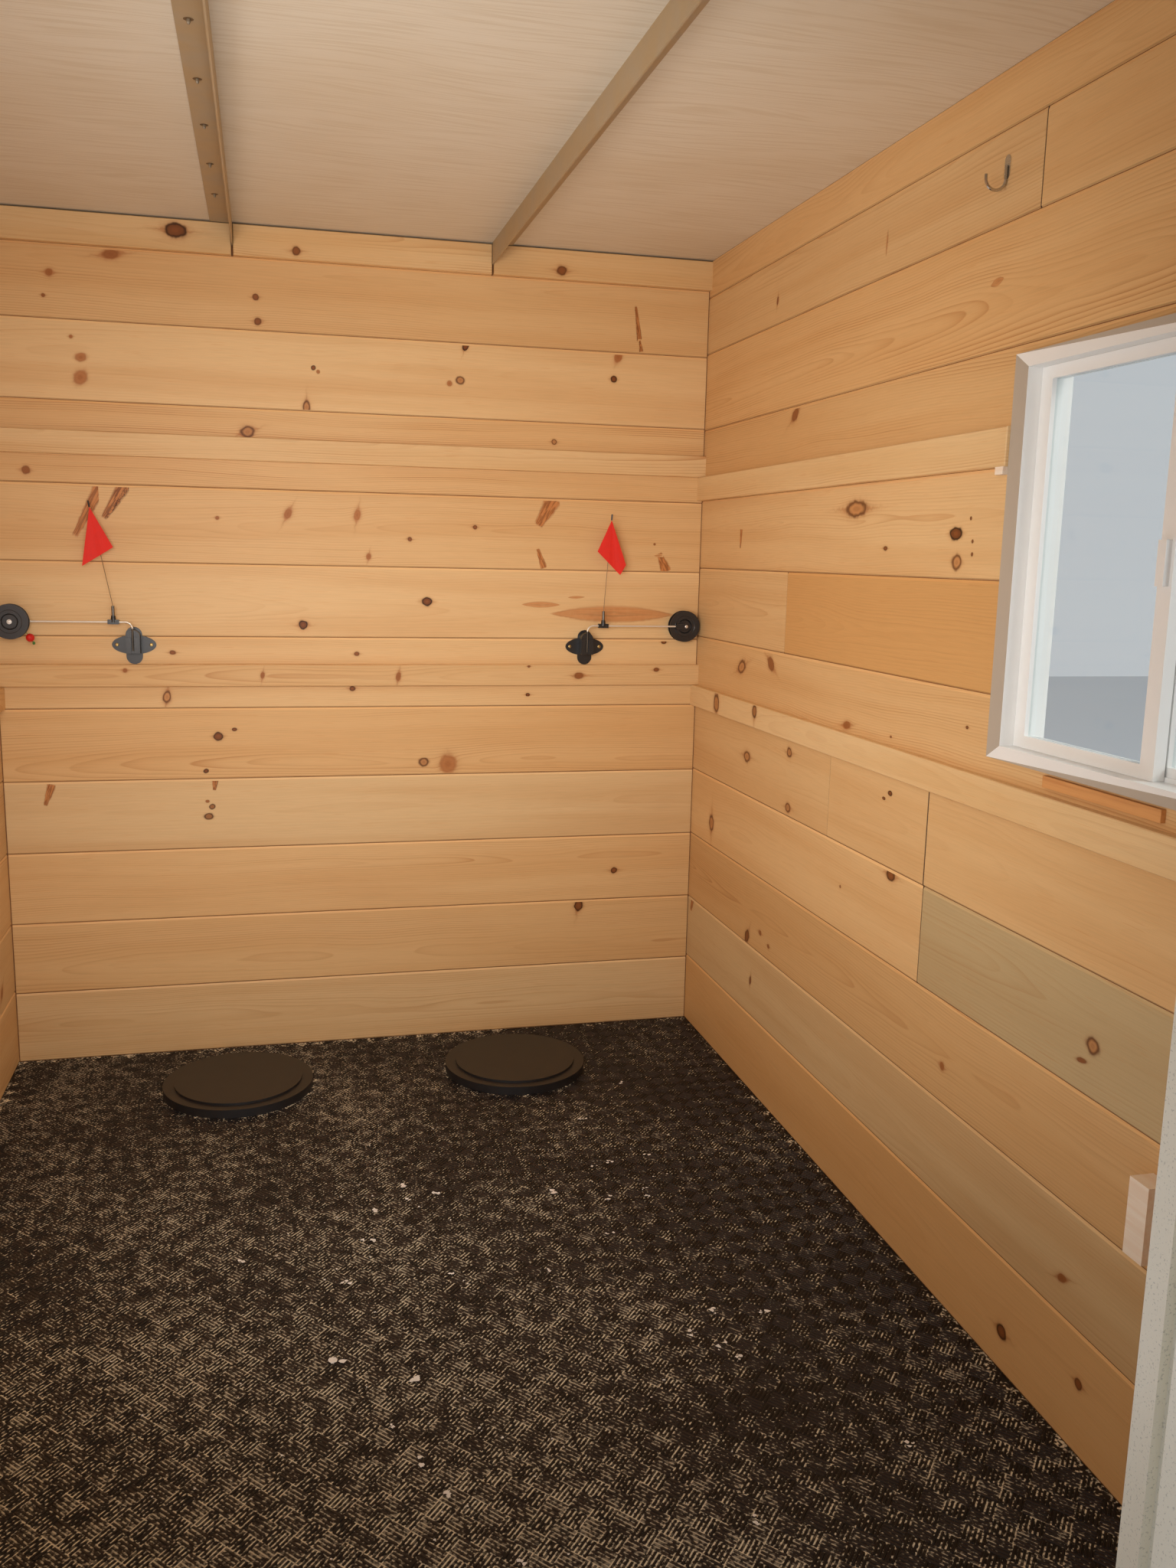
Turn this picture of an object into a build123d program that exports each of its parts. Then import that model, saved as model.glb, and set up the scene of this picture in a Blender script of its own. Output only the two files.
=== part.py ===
# Ice fishing hut on wooden runners, pine lined, with two sliding windows,
# an outward opening door, two ice holes and two wall reels.
# X points right as seen from the door, Y from the door to the back wall, Z up.
# The origin is under the middle of the hut at ground level.
import os
from math import cos, floor, radians, sin

from build123d import *

os.makedirs("parts", exist_ok=True)

# Room
ROOM_WIDTH = 1756.0
ROOM_DEPTH = 2455.0
ROOM_HEIGHT = 2030.0
WALL = 60.0

# Base
RUNNER_WIDTH = 89.0
RUNNER_HEIGHT = 140.0
RUNNER_INSET = 193.5
RUNNER_NOSE = 110.0
RUNNER_NOSE_TIP = 40.0
JOIST_WIDTH = 38.0
JOIST_HEIGHT = 89.0
JOIST_COUNT = 6
JOIST_HOLE_GAP = 10.0
DECK = 18.0
MAT = 8.0
MAT_GAP = 1.5

# Ice holes
HOLE_OFFSET = 338.0
HOLE_FROM_BACK = 265.0
SLEEVE_BORE = 254.0
SLEEVE_WALL = 5.0
SLEEVE_GAP = 0.3
SLEEVE_RISE = 5.0
COVER_DIAMETER = 350.0
COVER_HEIGHT = 20.0
COVER_TOP = 4.0
COVER_WALL = 4.0
COVER_STEP = 26.0
COVER_STEP_HEIGHT = 5.0
COVER_PLUG_HEIGHT = 26.0
COVER_PLUG_GAP = 3.0

# Wall strips on the pine lining
RAIL_PROUD = 18.0
BACK_RAIL_LOW = 945.0
BACK_RAIL_HIGH = 1490.0
BACK_RAIL_HEIGHT = 54.0
SIDE_RAIL_LOW = 890.0
SIDE_RAIL_HIGH = 1430.0
RAIL_GAP = 0.3
TOP_STRIP_HEIGHT = 69.0
TOP_STRIP_GAP = 4.0
TOP_STRIP_PROUD = 19.0

# Ceiling and roof
CEILING = 12.0
ANGLE_LEG = 50.0
ANGLE_THICK = 3.0
ANGLE_FROM_SIDE = 571.0
ANGLE_SLOT = 5.0
ROOF_SHEET = 2.0
ROOF_RIB_PITCH = 229.0
ROOF_RIB_MARGIN = 10.0
ROOF_RIB_TOP = 22.0
ROOF_RIB_FOOT = 60.0
ROOF_RIB_HEIGHT = 19.0
ROOF_OVERHANG = 40.0
ROOF_TURN_DOWN = 45.0
TRIM_LEG = 42.0
TRIM_THICK = 2.0

# Windows
WINDOW_WIDTH = 710.0
WINDOW_HEIGHT = 617.0
WINDOW_LOW = 978.0
WINDOW_FROM_BACK = 1480.0
WINDOW_PROUD = 12.0
WINDOW_SIDE = 36.0
WINDOW_RAIL = 22.0
WINDOW_FIN = 28.0
WINDOW_FIN_THICK = 6.0
SASH_STILE = 28.0
SASH_RAIL = 19.0
SASH_DEPTH = 18.0
SASH_GAP = 0.3
SASH_TRACK = 3.0
TRACK_RIB = 6.0
TRACK_RIB_GAP = 0.5
SASH_INSET = 12.0
PANE = 4.0
LATCH_HEIGHT = 60.0
LATCH_WIDTH = 16.0
LATCH_DEPTH = 9.0

# Door
DOOR_WIDTH = 915.0
DOOR_HEADER = 200.0
DOOR_SILL = 20.0
FRAME_THICK = 25.0
STOP_DEPTH = 26.0
REBATE = 10.0
LEAF_THICK = 34.0
LEAF_GAP = 6.0
LEAF_PANEL_INSET = 90.0
LEAF_PANEL_DEPTH = 4.0
HINGE_RADIUS = 7.0
HINGE_PIN = 3.0
HINGE_CLEAR = 0.5
HINGE_HEIGHT = 90.0
HINGE_PLATE = 2.5
HINGE_PLATE_WIDTH = 46.0
HINGE_INSET = 240.0
DOOR_OPEN_DEG = 95.0
HANDLE_HEIGHT = 960.0
HANDLE_SETBACK = 62.0
HANDLE_LENGTH = 115.0
HANDLE_BAR = 16.0
HANDLE_STAND = 40.0
HANDLE_PLATE_WIDTH = 44.0
HANDLE_PLATE_HEIGHT = 150.0
HANDLE_PLATE_THICK = 5.0
HANDLE_SPINDLE = 10.0
HANDLE_GAP = 0.3

# Wall reels
REEL_FROM_SIDE = 316.0
REEL_BRACKET_HEIGHT = 1046.0
REEL_EAR_SPAN = 102.0
REEL_EAR_WIDTH = 46.0
REEL_PLATE = 4.0
REEL_TAB_WIDTH = 38.0
REEL_TAB_RISE = 43.0
REEL_TAB_DROP = 47.0
REEL_STAND = 34.0
REEL_SOCKET_WIDTH = 32.0
REEL_SOCKET_RISE = 37.0
REEL_SOCKET_DROP = 19.0
REEL_SOCKET_FLOOR = 6.0
REEL_SOCKET_FRONT = 1.0
REEL_CHANNEL = 12.0
REEL_CHEEK_GAP = 8.0
REEL_CHEEK_HEIGHT = 38.0
REEL_CHEEK_PROUD = 3.0
REEL_ROD = 4.5
REEL_ROD_GAP = 0.3
REEL_ARM_HEIGHT = 1102.0
REEL_ARM_LENGTH = 268.0
REEL_ARM_BEND = 16.0
REEL_HUB_WIDTH = 15.0
REEL_HUB_LENGTH = 36.0
REEL_HUB_FRONT = 5.0
REEL_CLAMP_OFFSET = 42.0
REEL_CLAMP_WIDTH = 26.0
REEL_CLAMP_HEIGHT = 11.0
REEL_BOSS_DIAMETER = 14.0
REEL_BOSS_RISE = 15.0
REEL_BOSS_TAPER = 8.0
REEL_TUBE_DIAMETER = 7.0
REEL_TUBE_RISE = 38.0
SPOOL_DIAMETER = 82.0
SPOOL_WIDTH = 20.0
SPOOL_FLANGE = 3.0
SPOOL_CORE = 52.0
SPOOL_DISH = 34.0
SPOOL_DISH_DEPTH = 2.0
SPOOL_FROM_ROD = 6.0
SPOOL_BORE_GAP = 0.5
AXLE_CAP = 11.0
AXLE_CAP_THICK = 2.0
AXLE_CAP_GAP = 0.5
FLAG_WIRE = 1.6
FLAG_WIRE_LENGTH = 248.0
FLAG_TIP_DIAMETER = 4.5
FLAG_TIP_LENGTH = 15.0
FLAG_THICK = 1.2
# How far each flag wire leans outward, and each cloth's corners from its top corner
FLAGS = {
    "left": (10.5, ((0.0, 0.0), (49.0, -92.0), (-22.0, -137.0))),
    "right": (4.0, ((0.0, 0.0), (41.0, -113.0), (26.0, -139.0), (-36.0, -80.0))),
}

# Small fixtures on the right wall
HOOK_FROM_BACK = 1400.0
HOOK_FROM_CEILING = 129.0
HOOK_PLATE_HEIGHT = 36.0
HOOK_PLATE_WIDTH = 16.0
HOOK_PLATE_THICK = 3.0
HOOK_WIRE = 5.0
HOOK_WIRE_SIDES = 8
HOOK_RADIUS = 17.0
HOOK_TIP = 5.0
BLOCK_FROM_BACK = 1946.0
BLOCK_LOW = 385.0
BLOCK_HEIGHT = 108.0
BLOCK_SIDE = 38.0

# Levels and faces worked out from the sizes above
DECK_LOW = RUNNER_HEIGHT + JOIST_HEIGHT
DECK_TOP = DECK_LOW + DECK
FLOOR = DECK_TOP + MAT
CEILING_LOW = FLOOR + ROOM_HEIGHT
ROOF_LOW = CEILING_LOW + CEILING
SIDE = ROOM_WIDTH / 2
END = ROOM_DEPTH / 2
OUT_SIDE = SIDE + WALL
OUT_END = END + WALL
DOOR_TOP = CEILING_LOW - DOOR_HEADER
TOP_STRIP_TOP = CEILING_LOW - TOP_STRIP_GAP
TOP_STRIP_LOW = TOP_STRIP_TOP - TOP_STRIP_HEIGHT


def block(x_low, x_high, y_low, y_high, z_low, z_high):
    """Add a plain squared block between its limits."""
    with BuildSketch(Plane.XY.offset(z_low)) as outline:
        with Locations(((x_low + x_high) / 2, (y_low + y_high) / 2)):
            Rectangle(x_high - x_low, y_high - y_low)
    extrude(outline.sketch, amount=z_high - z_low)


def keep(part, name):
    """Label a finished piece and write it."""
    part.label = name
    export_step(part, f"parts/{name}.step")


# Runners
RUNNER_PROFILE = [
    (-OUT_END, RUNNER_HEIGHT),
    (-OUT_END, RUNNER_HEIGHT - RUNNER_NOSE_TIP),
    (-OUT_END + RUNNER_NOSE, 0),
    (OUT_END - RUNNER_NOSE, 0),
    (OUT_END, RUNNER_HEIGHT - RUNNER_NOSE_TIP),
    (OUT_END, RUNNER_HEIGHT),
]
for hand, name in ((-1, "runner_left"), (0, "runner_middle"), (1, "runner_right")):
    middle = hand * (OUT_SIDE - RUNNER_INSET - RUNNER_WIDTH / 2)
    with BuildPart() as runner:
        with BuildSketch(Plane.YZ.offset(middle - RUNNER_WIDTH / 2)):
            with BuildLine():
                Polyline(*RUNNER_PROFILE, close=True)
            make_face()
        extrude(amount=RUNNER_WIDTH)
    keep(runner.part, name)

# Floor joists: even from the front wall to the ice holes, and one under the back wall
hole_y = END - HOLE_FROM_BACK
sleeve_radius = SLEEVE_BORE / 2 + SLEEVE_WALL
joist_front = -OUT_END + JOIST_WIDTH / 2
joist_at_holes = hole_y - sleeve_radius - JOIST_HOLE_GAP - JOIST_WIDTH / 2
joist_pitch = (joist_at_holes - joist_front) / (JOIST_COUNT - 1)
joist_middles = [joist_front + number * joist_pitch for number in range(JOIST_COUNT)]
joist_middles.append(OUT_END - JOIST_WIDTH / 2)
with BuildPart() as joists:
    for y in joist_middles:
        block(-OUT_SIDE, OUT_SIDE, y - JOIST_WIDTH / 2, y + JOIST_WIDTH / 2, RUNNER_HEIGHT, DECK_LOW)
keep(joists.part, "floor_joists")

# Deck and rubber mat, both pierced for the ice holes
HOLES = ((-HOLE_OFFSET, hole_y), (HOLE_OFFSET, hole_y))
with BuildPart() as deck:
    block(-OUT_SIDE, OUT_SIDE, -OUT_END, OUT_END, DECK_LOW, DECK_TOP)
    with Locations(*[(x, y, DECK_TOP) for x, y in HOLES]):
        Hole(sleeve_radius + SLEEVE_GAP)
keep(deck.part, "floor_deck")

with BuildPart() as mat:
    block(-SIDE + MAT_GAP, SIDE - MAT_GAP, -END + MAT_GAP, END - MAT_GAP, DECK_TOP, FLOOR)
    with Locations(*[(x, y, FLOOR) for x, y in HOLES]):
        Hole(sleeve_radius + SLEEVE_GAP)
keep(mat.part, "floor_mat")

# Ice hole sleeves and covers
for (hole_x, y), side_name in zip(HOLES, ("left", "right")):
    with BuildPart() as sleeve:
        with BuildSketch(Plane.XY.offset(RUNNER_HEIGHT)):
            with Locations((hole_x, y)):
                Circle(sleeve_radius)
                Circle(SLEEVE_BORE / 2, mode=Mode.SUBTRACT)
        extrude(amount=DECK_TOP + SLEEVE_RISE - RUNNER_HEIGHT)
    keep(sleeve.part, f"hole_sleeve_{side_name}")

step_radius = COVER_DIAMETER / 2 - COVER_STEP
plug_radius = SLEEVE_BORE / 2 - COVER_PLUG_GAP
cover_roof = COVER_HEIGHT - COVER_TOP
COVER_PROFILE = [
    (0, cover_roof),
    (plug_radius - COVER_WALL, cover_roof),
    (plug_radius - COVER_WALL, cover_roof - COVER_PLUG_HEIGHT),
    (plug_radius, cover_roof - COVER_PLUG_HEIGHT),
    (plug_radius, cover_roof),
    (COVER_DIAMETER / 2 - COVER_WALL, cover_roof),
    (COVER_DIAMETER / 2 - COVER_WALL, 0),
    (COVER_DIAMETER / 2, 0),
    (COVER_DIAMETER / 2, COVER_HEIGHT),
    (step_radius, COVER_HEIGHT),
    (step_radius, COVER_HEIGHT + COVER_STEP_HEIGHT),
    (0, COVER_HEIGHT + COVER_STEP_HEIGHT),
]
with BuildPart() as covers:
    for hole_x, y in HOLES:
        with BuildSketch(Plane(origin=(hole_x, y, FLOOR), x_dir=(1, 0, 0), z_dir=(0, -1, 0))):
            with BuildLine():
                Polyline(*COVER_PROFILE, close=True)
            make_face()
        revolve(axis=Axis((hole_x, y, FLOOR), (0, 0, 1)))
keep(covers.part, "hole_covers")

# Back wall between the side walls
with BuildPart() as back_wall:
    block(-SIDE, SIDE, END, OUT_END, DECK_TOP, CEILING_LOW)
keep(back_wall.part, "back_wall")

# Side walls with the window openings cut through
window_low = FLOOR + WINDOW_LOW
window_high = window_low + WINDOW_HEIGHT
window_back = END - WINDOW_FROM_BACK
window_front = window_back - WINDOW_WIDTH
window_middle = (window_back + window_front) / 2
window_level = (window_low + window_high) / 2
for hand, name in ((-1, "left_wall"), (1, "right_wall")):
    x_low, x_high = sorted((hand * SIDE, hand * OUT_SIDE))
    with BuildPart() as side_wall:
        block(x_low, x_high, -OUT_END, OUT_END, DECK_TOP, CEILING_LOW)
        with BuildSketch(Plane.YZ.offset(x_low)):
            with Locations((window_middle, window_level)):
                Rectangle(WINDOW_WIDTH, WINDOW_HEIGHT)
        extrude(amount=WALL, mode=Mode.SUBTRACT)
    keep(side_wall.part, name)

# Front wall, split beside and over the doorway
frame_side = DOOR_WIDTH / 2 + FRAME_THICK
frame_top = DOOR_TOP + FRAME_THICK
for low, high, name in ((-SIDE, -frame_side, "front_wall_left"), (frame_side, SIDE, "front_wall_right")):
    with BuildPart() as front_wall:
        block(low, high, -OUT_END, -END, DECK_TOP, CEILING_LOW)
    keep(front_wall.part, name)
with BuildPart() as header:
    block(-frame_side, frame_side, -OUT_END, -END, frame_top, CEILING_LOW)
keep(header.part, "front_wall_header")

# Strip under the ceiling on the back wall, slotted for the ceiling angles
angle_inner = SIDE - ANGLE_FROM_SIDE
with BuildPart() as top_strip:
    block(-SIDE, SIDE, END - TOP_STRIP_PROUD, END, TOP_STRIP_LOW, TOP_STRIP_TOP)
    for hand in (-1, 1):
        leg = hand * (angle_inner + ANGLE_THICK / 2)
        with BuildSketch(Plane.XY.offset(TOP_STRIP_LOW)):
            with Locations((leg, END - TOP_STRIP_PROUD / 2)):
                Rectangle(ANGLE_SLOT, TOP_STRIP_PROUD)
        extrude(amount=TOP_STRIP_HEIGHT, mode=Mode.SUBTRACT)
keep(top_strip.part, "back_top_strip")

# Rails that stand proud of the lining
with BuildPart() as back_rails:
    for low in (BACK_RAIL_LOW, BACK_RAIL_HIGH):
        block(-SIDE, SIDE, END - RAIL_PROUD, END, FLOOR + low, FLOOR + low + BACK_RAIL_HEIGHT)
keep(back_rails.part, "back_rails")
rail_back = END - RAIL_GAP
for hand, name in ((-1, "left_rails"), (1, "right_rails")):
    x_low, x_high = sorted((hand * SIDE, hand * (SIDE - RAIL_PROUD)))
    with BuildPart() as side_rails:
        block(
            x_low, x_high, -END, rail_back,
            FLOOR + SIDE_RAIL_LOW, FLOOR + BACK_RAIL_LOW - RAIL_GAP,
        )
        block(
            x_low, x_high, window_back + RAIL_GAP, rail_back,
            FLOOR + SIDE_RAIL_HIGH, FLOOR + BACK_RAIL_HIGH - RAIL_GAP,
        )
    keep(side_rails.part, name)

# Ceiling, its two steel angles and the ribbed roof sheet
with BuildPart() as ceiling:
    block(-OUT_SIDE, OUT_SIDE, -OUT_END, OUT_END, CEILING_LOW, ROOF_LOW)
keep(ceiling.part, "ceiling_panel")

for hand, name in ((-1, "ceiling_angle_left"), (1, "ceiling_angle_right")):
    inner = hand * angle_inner
    web = hand * (angle_inner + ANGLE_THICK)
    outer = hand * (angle_inner + ANGLE_LEG)
    ANGLE_PROFILE = [
        (inner, CEILING_LOW),
        (inner, CEILING_LOW - ANGLE_LEG),
        (web, CEILING_LOW - ANGLE_LEG),
        (web, CEILING_LOW - ANGLE_THICK),
        (outer, CEILING_LOW - ANGLE_THICK),
        (outer, CEILING_LOW),
    ]
    with BuildPart() as angle:
        with BuildSketch(Plane.XZ.offset(-END)):
            with BuildLine():
                Polyline(*ANGLE_PROFILE, close=True)
            make_face()
        extrude(amount=ROOM_DEPTH)
    keep(angle.part, name)

# The ribs run across the hut, so the section is drawn from the front to the back
roof_side = OUT_SIDE + ROOF_OVERHANG
roof_end = OUT_END + ROOF_OVERHANG
rib_span = 2 * (roof_end - ROOF_RIB_MARGIN) - ROOF_RIB_FOOT
rib_gaps = floor(rib_span / ROOF_RIB_PITCH)
rib_start = -ROOF_RIB_PITCH * rib_gaps / 2
turn_low = ROOF_LOW - ROOF_TURN_DOWN
top_line = [(-roof_end, turn_low), (-roof_end, ROOF_LOW + ROOF_SHEET)]
under_line = [(-roof_end + ROOF_SHEET, turn_low), (-roof_end + ROOF_SHEET, ROOF_LOW)]
for number in range(rib_gaps + 1):
    rib_y = rib_start + number * ROOF_RIB_PITCH
    for step, rise in (
        (-ROOF_RIB_FOOT / 2, 0),
        (-ROOF_RIB_TOP / 2, ROOF_RIB_HEIGHT),
        (ROOF_RIB_TOP / 2, ROOF_RIB_HEIGHT),
        (ROOF_RIB_FOOT / 2, 0),
    ):
        top_line.append((rib_y + step, ROOF_LOW + ROOF_SHEET + rise))
        under_line.append((rib_y + step, ROOF_LOW + rise))
top_line += [(roof_end, ROOF_LOW + ROOF_SHEET), (roof_end, turn_low)]
under_line += [(roof_end - ROOF_SHEET, ROOF_LOW), (roof_end - ROOF_SHEET, turn_low)]
with BuildPart() as roof:
    with BuildSketch(Plane.YZ.offset(-roof_side)):
        with BuildLine():
            Polyline(*top_line, *reversed(under_line), close=True)
        make_face()
    extrude(amount=2 * roof_side)
keep(roof.part, "roof_sheet")

# Metal trims over the four outside corners
with BuildPart() as trims:
    for hand_x in (-1, 1):
        for hand_y in (-1, 1):
            x_out = hand_x * (OUT_SIDE + TRIM_THICK)
            x_in = hand_x * (OUT_SIDE + TRIM_THICK - TRIM_LEG)
            y_out = hand_y * (OUT_END + TRIM_THICK)
            y_in = hand_y * (OUT_END + TRIM_THICK - TRIM_LEG)
            x_face = hand_x * OUT_SIDE
            y_face = hand_y * OUT_END
            with BuildSketch(Plane.XY.offset(DECK_LOW)):
                with BuildLine():
                    Polyline(
                        (x_out, y_out), (x_in, y_out), (x_in, y_face),
                        (x_face, y_face), (x_face, y_in), (x_out, y_in), close=True,
                    )
                make_face()
            extrude(amount=ROOF_LOW - DECK_LOW)
keep(trims.part, "corner_trims")


def window_ring(plane, width, height, side, rail, depth):
    """Add a rectangular ring with its own side and rail widths."""
    with BuildSketch(plane) as outline:
        Rectangle(width, height)
        Rectangle(width - 2 * side, height - 2 * rail, mode=Mode.SUBTRACT)
    extrude(outline.sketch, amount=depth)


# Sliding windows in both side walls
for hand, side_name in ((-1, "left"), (1, "right")):
    out_dir = (hand, 0, 0)

    def window_plane(from_inside, along=0.0):
        """Plane across the window, a distance out from the room face of the wall."""
        return Plane(
            origin=(hand * (SIDE + from_inside), window_middle + along, window_level),
            x_dir=(0, hand, 0),
            z_dir=out_dir,
        )

    frame_width = WINDOW_WIDTH - 2 * SASH_GAP
    frame_height = WINDOW_HEIGHT - 2 * SASH_GAP
    with BuildPart() as window_frame:
        window_ring(
            window_plane(-WINDOW_PROUD), frame_width, frame_height,
            WINDOW_SIDE, WINDOW_RAIL, WALL + WINDOW_PROUD,
        )
        window_ring(
            window_plane(WALL), WINDOW_WIDTH + 2 * WINDOW_FIN, WINDOW_HEIGHT + 2 * WINDOW_FIN,
            WINDOW_SIDE + WINDOW_FIN, WINDOW_RAIL + WINDOW_FIN, WINDOW_FIN_THICK,
        )
        window_ring(
            window_plane(SASH_INSET + SASH_DEPTH + TRACK_RIB_GAP), frame_width, frame_height,
            WINDOW_SIDE + TRACK_RIB, WINDOW_RAIL + TRACK_RIB, SASH_TRACK - 2 * TRACK_RIB_GAP,
        )
    keep(window_frame.part, f"{side_name}_window_frame")

    inside_width = frame_width - 2 * WINDOW_SIDE
    inside_height = frame_height - 2 * WINDOW_RAIL
    sash_width = (inside_width + SASH_STILE) / 2 - SASH_GAP
    sash_height = inside_height - 2 * SASH_GAP
    sash_shift = (inside_width - sash_width) / 2 - SASH_GAP
    back_sash = SASH_INSET
    front_sash = SASH_INSET + SASH_DEPTH + SASH_TRACK
    with BuildPart() as sashes:
        window_ring(
            window_plane(back_sash, sash_shift), sash_width, sash_height,
            SASH_STILE, SASH_RAIL, SASH_DEPTH,
        )
        window_ring(
            window_plane(front_sash, -sash_shift), sash_width, sash_height,
            SASH_STILE, SASH_RAIL, SASH_DEPTH,
        )
        latch_along = sash_shift - sash_width / 2 + SASH_STILE / 2
        with BuildSketch(window_plane(back_sash - LATCH_DEPTH, latch_along)):
            Rectangle(LATCH_WIDTH, LATCH_HEIGHT)
        extrude(amount=LATCH_DEPTH)
    keep(sashes.part, f"{side_name}_window_sashes")

    pane_width = sash_width - 2 * SASH_STILE - 2 * SASH_GAP
    pane_height = sash_height - 2 * SASH_RAIL - 2 * SASH_GAP
    pane_set = (SASH_DEPTH - PANE) / 2
    with BuildPart() as panes:
        for depth, along in ((back_sash, sash_shift), (front_sash, -sash_shift)):
            with BuildSketch(window_plane(depth + pane_set, along)):
                Rectangle(pane_width, pane_height)
            extrude(amount=PANE)
    keep(panes.part, f"{side_name}_window_glass")

# Door frame with its stop and rebate, on a raised sill
with BuildPart() as door_frame:
    block(-frame_side, frame_side, -OUT_END, -END, DECK_TOP, frame_top)
    block_low = FLOOR + DOOR_SILL
    with BuildSketch(Plane.XZ.offset(END)):
        with BuildLine():
            Polyline(
                (-DOOR_WIDTH / 2, block_low), (DOOR_WIDTH / 2, block_low),
                (DOOR_WIDTH / 2, DOOR_TOP), (-DOOR_WIDTH / 2, DOOR_TOP), close=True,
            )
        make_face()
    extrude(amount=WALL, mode=Mode.SUBTRACT)
    rebate_side = DOOR_WIDTH / 2 + REBATE
    with BuildSketch(Plane.XZ.offset(END + STOP_DEPTH)):
        with BuildLine():
            Polyline(
                (-rebate_side, block_low - REBATE), (rebate_side, block_low - REBATE),
                (rebate_side, DOOR_TOP + REBATE), (-rebate_side, DOOR_TOP + REBATE), close=True,
            )
        make_face()
    extrude(amount=WALL - STOP_DEPTH, mode=Mode.SUBTRACT)
keep(door_frame.part, "door_frame")

# Door leaf, hinged at the right jamb and standing open
leaf_width = DOOR_WIDTH + 2 * REBATE - 2 * LEAF_GAP
leaf_low = FLOOR + DOOR_SILL - REBATE + LEAF_GAP
leaf_high = DOOR_TOP + REBATE - LEAF_GAP
leaf_inner = -END - STOP_DEPTH - LEAF_GAP
hinge_x = rebate_side - LEAF_GAP / 2
hinge_y = leaf_inner - LEAF_THICK - HINGE_RADIUS - HINGE_CLEAR
turn = radians(DOOR_OPEN_DEG)
along_leaf = (-cos(turn), -sin(turn), 0)


def door_plane(level):
    """Level plane at the hinge, X along the leaf and Y out of its outside face."""
    return Plane(origin=(hinge_x, hinge_y, level), x_dir=along_leaf, z_dir=(0, 0, 1))


leaf_near = LEAF_GAP / 2
leaf_far = leaf_near + leaf_width
leaf_outside = -HINGE_RADIUS - HINGE_CLEAR
leaf_inside = leaf_outside - LEAF_THICK
handle_along = leaf_far - HANDLE_SETBACK


def leaf_block(x_low, x_high, y_low, y_high, z_low, z_high, mode=Mode.ADD):
    """Add or cut a block that is squared to the open leaf."""
    with BuildSketch(door_plane(z_low)) as outline:
        with Locations(((x_low + x_high) / 2, (y_low + y_high) / 2)):
            Rectangle(x_high - x_low, y_high - y_low)
    extrude(outline.sketch, amount=z_high - z_low, mode=mode)


def leaf_side_plane(depth, along, level):
    """Plane parallel to the leaf faces, at a place along it and a level."""
    origin = door_plane(level).from_local_coords((along, depth, 0))
    normal = door_plane(level).y_dir
    return Plane(origin=origin, x_dir=along_leaf, z_dir=normal)


with BuildPart() as leaf:
    leaf_block(leaf_near, leaf_far, leaf_inside, leaf_outside, leaf_low, leaf_high)
    leaf_block(
        leaf_near + LEAF_PANEL_INSET, leaf_far - LEAF_PANEL_INSET, leaf_outside - LEAF_PANEL_DEPTH, leaf_outside,
        leaf_low + LEAF_PANEL_INSET, leaf_high - LEAF_PANEL_INSET, Mode.SUBTRACT,
    )
    with BuildSketch(leaf_side_plane(leaf_inside, handle_along, FLOOR + HANDLE_HEIGHT)):
        Circle(HANDLE_SPINDLE / 2 + HANDLE_GAP)
    extrude(amount=LEAF_THICK, mode=Mode.SUBTRACT)
keep(leaf.part, "door_leaf")

# Lever handles on both faces, joined by the spindle
with BuildPart() as handle:
    with BuildSketch(leaf_side_plane(leaf_inside - HANDLE_STAND, handle_along, FLOOR + HANDLE_HEIGHT)):
        Circle(HANDLE_SPINDLE / 2)
    extrude(amount=LEAF_THICK + 2 * HANDLE_STAND)
    for plate_low in (leaf_inside - HANDLE_GAP - HANDLE_PLATE_THICK, leaf_outside + HANDLE_GAP):
        with BuildSketch(leaf_side_plane(plate_low, handle_along, FLOOR + HANDLE_HEIGHT)):
            Rectangle(HANDLE_PLATE_WIDTH, HANDLE_PLATE_HEIGHT)
        extrude(amount=HANDLE_PLATE_THICK)
    for bar_low in (leaf_inside - HANDLE_STAND - HANDLE_BAR / 2, leaf_outside + HANDLE_STAND - HANDLE_BAR / 2):
        bar_plane = leaf_side_plane(bar_low, handle_along - HANDLE_LENGTH / 2, FLOOR + HANDLE_HEIGHT)
        with BuildSketch(bar_plane):
            SlotOverall(HANDLE_LENGTH + HANDLE_BAR, HANDLE_BAR)
        extrude(amount=HANDLE_BAR)
keep(handle.part, "door_handle")

# Hinges: plates with outer knuckles and pins on the wall, straps with middle knuckles on the leaf
knuckle = HINGE_HEIGHT / 3
hinge_levels = (leaf_low + HINGE_INSET, leaf_high - HINGE_INSET)
plate_near = hinge_x + HINGE_RADIUS + 2 * HINGE_CLEAR
with BuildPart() as hinge_plates:
    for hinge_level in hinge_levels:
        low = hinge_level - HINGE_HEIGHT / 2
        for level in (low, low + 2 * knuckle):
            with BuildSketch(Plane.XY.offset(level)):
                with Locations((hinge_x, hinge_y)):
                    Circle(HINGE_RADIUS)
            extrude(amount=knuckle)
            block(
                hinge_x, plate_near + HINGE_PLATE, hinge_y - HINGE_PLATE / 2,
                hinge_y + HINGE_PLATE / 2, level, level + knuckle,
            )
        with BuildSketch(Plane.XY.offset(low)):
            with Locations((hinge_x, hinge_y)):
                Circle(HINGE_PIN)
        extrude(amount=HINGE_HEIGHT)
        block(
            plate_near, plate_near + HINGE_PLATE, hinge_y - HINGE_PLATE / 2,
            -OUT_END, low, low + HINGE_HEIGHT,
        )
        block(
            plate_near, plate_near + HINGE_PLATE_WIDTH, -OUT_END - HINGE_PLATE,
            -OUT_END, low, low + HINGE_HEIGHT,
        )
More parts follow.
